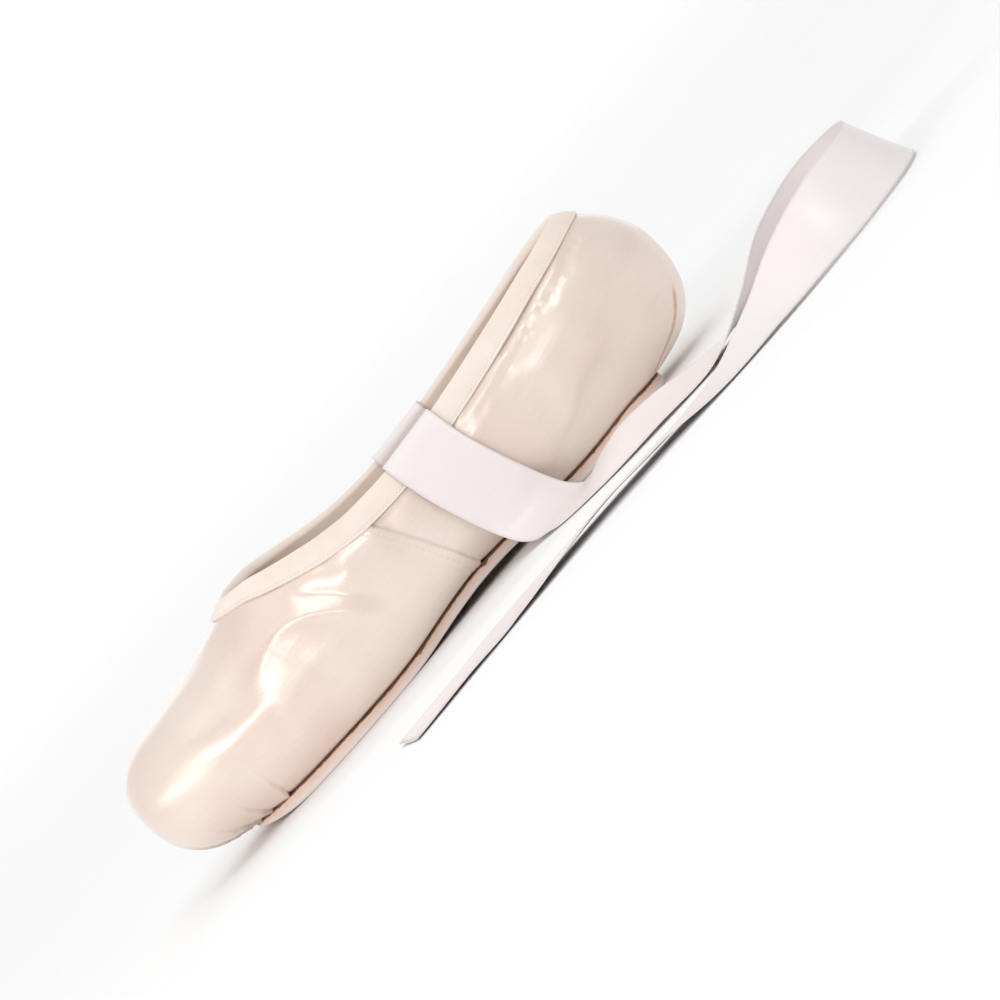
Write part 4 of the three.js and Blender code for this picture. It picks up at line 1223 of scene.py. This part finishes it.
def stitch_tree(finish):
    """A tree that turns a line of edges into a row of stitches."""
    tree = bpy.data.node_groups.new("stitch_row", "GeometryNodeTree")
    tree.interface.new_socket("Line", in_out="INPUT", socket_type="NodeSocketGeometry")
    for name in ("Pitch", "Stitch", "Thread"):
        tree.interface.new_socket(name, in_out="INPUT", socket_type="NodeSocketFloat")
    tree.interface.new_socket("Seed", in_out="INPUT", socket_type="NodeSocketInt")
    tree.interface.new_socket("Stitches", in_out="OUTPUT", socket_type="NodeSocketGeometry")
    given = add(tree, "NodeGroupInput").outputs
    line = add(tree, "GeometryNodeMeshToCurve", {"Mesh": given["Line"]}).outputs["Curve"]
    links = {"Curve": line, "Length": given["Pitch"]}
    line = add(tree, "GeometryNodeResampleCurve", links, mode="LENGTH").outputs["Curve"]
    stitch = one_stitch(tree, given["Stitch"], given["Thread"])
    links = {"Points": line, "Instance": stitch, "Rotation": along_and_out(tree, given["Seed"])}
    placed = add(tree, "GeometryNodeInstanceOnPoints", links).outputs["Instances"]
    real = add(tree, "GeometryNodeRealizeInstances", {"Geometry": placed}).outputs["Geometry"]
    real = add(tree, "GeometryNodeSetMaterial", {"Geometry": real, "Material": finish}).outputs["Geometry"]
    add(tree, "NodeGroupOutput", {"Stitches": real})
    return tree


sewing_thread, tree, shader = new_finish("sewing_thread", Roughness=0.6, Sheen_Weight=0.3)
fuzz = noise(tree, object_place(tree), 2500, 2)
cotton_tone = ramp(tree, fuzz, [(0.3, (0.80, 0.68, 0.58)), (0.7, (0.90, 0.81, 0.73))])
tree.links.new(cotton_tone, shader.inputs["Base Color"])
STITCH_TREE = stitch_tree(sewing_thread)
print("the stitch tree has", len(STITCH_TREE.nodes), "nodes")


# %% Sew a row
def sew(name, lines, outs, pitch, stitch, thread, seed):
    """Stitches along lines of points in millimetres, each point with the way out of the cloth there."""
    mesh = bpy.data.meshes.new(name + "_line")
    edges, start = [], 0
    for line in lines:
        edges += [(start + k, start + k + 1) for k in range(len(line) - 1)]
        start += len(line)
    mesh.from_pydata((np.concatenate(lines) * MM).tolist(), edges, [])
    out = mesh.attributes.new("out", "FLOAT_VECTOR", "POINT")
    out.data.foreach_set("vector", np.concatenate(outs).ravel().astype(np.float32))
    source = bpy.data.objects.new(name + "_line", mesh)
    bpy.context.scene.collection.objects.link(source)
    sewing = source.modifiers.new("stitches", "NODES")
    sewing.node_group = STITCH_TREE
    values = {"Pitch": pitch * MM, "Stitch": stitch * MM, "Thread": thread * MM, "Seed": seed}
    for item in STITCH_TREE.interface.items_tree:
        if item.in_out == "INPUT" and item.name in values:
            sewing[item.identifier] = values[item.name]
    evaluated = source.evaluated_get(bpy.context.evaluated_depsgraph_get())
    piece = bpy.data.objects.new(name, bpy.data.meshes.new_from_object(evaluated))
    bpy.data.objects.remove(source)
    bpy.context.scene.collection.objects.link(piece)
    piece.data.shade_smooth()
    print(name, "has", len(piece.data.polygons), "faces")
    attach(piece, "root")


def resample(line, step):
    """A line of points again, evenly spaced at about that step."""
    run = run_along(line)
    want = np.linspace(0, run[-1], max(int(run[-1] / step), 2))
    return np.stack([np.interp(want, run, line[:, k]) for k in range(3)], -1)


def laid_on(tree, line, lift):
    """Points of a line moved onto the nearest cloth, and the way out there."""
    hits = [tree.find_nearest(Vector(p * MM)) for p in line]
    spots = np.array([hit[0] for hit in hits]) / MM
    outs = np.array([hit[1] for hit in hits])
    return spots + outs * lift, outs


# %% Rows of stitches
THREAD = 0.34
TAPE_PITCH, TAPE_STITCH = 2.5, 1.75
SEAM_PITCH, SEAM_STITCH = 2.0, 1.35
SEAM_HEIGHTS = np.linspace(9.5, 38.5, 60)
binding_tree = BVHTree.FromObject(binding, bpy.context.evaluated_depsgraph_get())
tape_rows, tape_outs = [], []
for tape, side in ((outer_tape, 1), (inner_tape, -1)):
    row = tape[1][list(TAPE_DEPTHS).index(TAPE_STITCH_DEPTH)]
    loop = resample(np.concatenate([row, (row * MIRROR)[-2:0:-1], row[:1]]), 1.0)
    spots, outs = laid_on(binding_tree, loop, 0.04)
    tape_rows.append(spots)
    tape_outs.append(outs)
sew("binding_stitches", tape_rows, tape_outs, TAPE_PITCH, TAPE_STITCH, THREAD, 3)

seam_backs = seam_curve(SEAM_HEIGHTS) - STITCH_BACKSET
at_seam = section(seam_backs)
rise = np.clip((SEAM_HEIGHTS - at_seam["widest"]) / (at_seam["crown"] - at_seam["widest"]), 0, 1)
rough = np.stack([LENGTH / 2 - seam_backs, at_seam["half"] * (1 - 0.5 * rise**2), SEAM_HEIGHTS], -1)
seam_line = onto_last(rough)
seam_rows, seam_outs = [], []
for mirror in (np.ones(3), MIRROR):
    spots, outs = laid_on(upper_tree, resample(seam_line * mirror, 0.8), 0.03)
    seam_rows.append(spots)
    seam_outs.append(outs)
sew("side_seam_stitches", seam_rows, seam_outs, SEAM_PITCH, SEAM_STITCH, THREAD, 7)

# %% [markdown]
# Each ribbon is held by a small square of hand stitches inside the collar. The square is laid out on the
# ribbon's own length and width, so it turns with the ribbon, and the same tree sews it.

# %% Stitches that hold the ribbons
SQUARE = (3.0, 14.0, 8.0)
SIDE_POINTS = 13
HAND_PITCH, HAND_STITCH, HAND_THREAD = 2.2, 1.4, 0.3


def sewn_square(route):
    """Points round a square on a ribbon's inner end, and the way out of the ribbon there."""
    middle, across, face, length = ribbon_frame(route)
    near, far, wide = SQUARE
    corners = [(near, -wide), (far, -wide), (far, wide), (near, wide), (near, -wide)]
    spots, outs = [], []
    for (l0, w0), (l1, w1) in zip(corners[:-1], corners[1:]):
        for t in np.linspace(0, 1, SIDE_POINTS, endpoint=False):
            at, off = l0 + (l1 - l0) * t, w0 + (w1 - w0) * t
            here = [[np.interp(at, length, way[:, k]) for k in range(3)] for way in (middle, across, face)]
            centre, wide_way, out = np.array(here)
            spots.append(centre + wide_way * off + out * (RIBBON_CLOTH / 2 + 0.02))
            outs.append(out)
    return np.array(spots), np.array(outs)


spots, outs = zip(*(sewn_square(route) for route in (LEFT_ROUTE, RIGHT_ROUTE)))
sew("ribbon_stitches", spots, outs, HAND_PITCH, HAND_STITCH, HAND_THREAD, 9)

# %% [markdown]
# ## Stage and light
# A pale sheet runs from the floor up behind the shoe, so that no horizon shows. Satin is seen by what it
# mirrors, so the lamps are shaped for their reflections: one long low strip on the toe's side of the camera
# draws the highlight down the vamp, a small strip carries it on over the toe, and a high lamp behind gives
# the broken glints under the binding. A wide lamp above fills the shadows. The lamp that whitens the
# backdrop is kept out of reflections, or it would draw a hard line along the top of the toe.

# %% Floor
FLOOR_REACH, FLOOR_HALF = 5.0, 6.0
SWEEP_START, SWEEP_RADIUS = -2.8, 1.2
WALL_TOP = 1.6

turns = np.linspace(0, np.pi / 2, 25)
sweep = [(SWEEP_START - SWEEP_RADIUS * math.sin(t), SWEEP_RADIUS * (1 - math.cos(t))) for t in turns]
side_line = [(FLOOR_REACH, 0.0)] + sweep + [(sweep[-1][0], WALL_TOP)]
sheet = np.array([[(x, y, z) for x in (-FLOOR_HALF, FLOOR_HALF)] for y, z in side_line]) / MM
floor = cloth_piece("floor", sheet.reshape(-1, 3), grid_faces(len(side_line), 2)[:, ::-1])
paper, tree, shader = new_finish("floor_paper", Roughness=0.9, Specular_IOR_Level=0.1)
pulp = noise(tree, object_place(tree), 40, 3)
white = ramp(tree, pulp, [(0.3, (0.925, 0.925, 0.925)), (0.7, (0.935, 0.935, 0.935))])
tree.links.new(white, shader.inputs["Base Color"])
dress(floor, paper)

# %% Lamps
# Each lamp: its name, place, aim, width and height in metres, and its power in watts.
LAMPS = [
    ("key_softbox", (0.46, 0.84, 0.41), (0.05, 0.02, 0.03), (1.05, 0.09), 2.6),
    ("toe_softbox", (0.98, 0.33, 0.22), (0.08, 0.02, 0.03), (0.55, 0.06), 0.8),
    ("heel_softbox", (-0.36, 0.78, 0.92), (-0.03, 0.02, 0.03), (0.40, 0.14), 1.3),
    ("top_softbox", (-0.15, 0.1, 1.3), (0, 0, 0), (1.4, 1.2), 2.5),
    ("backdrop_wash", (0.0, -2.1, 2.6), (0.0, -3.6, 0.5), (5.0, 0.6), 60),
]
SURROUND = 0.69


def lamp(name, place, aim, size, watts):
    """A rectangular area lamp that looks at a point."""
    data = bpy.data.lights.new(name, "AREA")
    data.shape = "RECTANGLE"
    data.size, data.size_y = size
    data.energy = watts
    body = bpy.data.objects.new(name, data)
    body.location = place
    body.rotation_euler = (Vector(aim) - Vector(place)).to_track_quat("-Z", "Y").to_euler()
    bpy.context.scene.collection.objects.link(body)
    return body


lamps = {row[0]: lamp(*row) for row in LAMPS}
lamps["backdrop_wash"].visible_glossy = False
world = bpy.data.worlds.new("studio")
bpy.context.scene.world = world
world.use_nodes = True
surround = world.node_tree.nodes["Background"].inputs
surround["Color"].default_value = (1, 1, 1, 1)
surround["Strength"].default_value = SURROUND
bpy.context.scene.view_settings.view_transform = "Standard"
print(len(lamps), "lamps and a surround of", SURROUND)
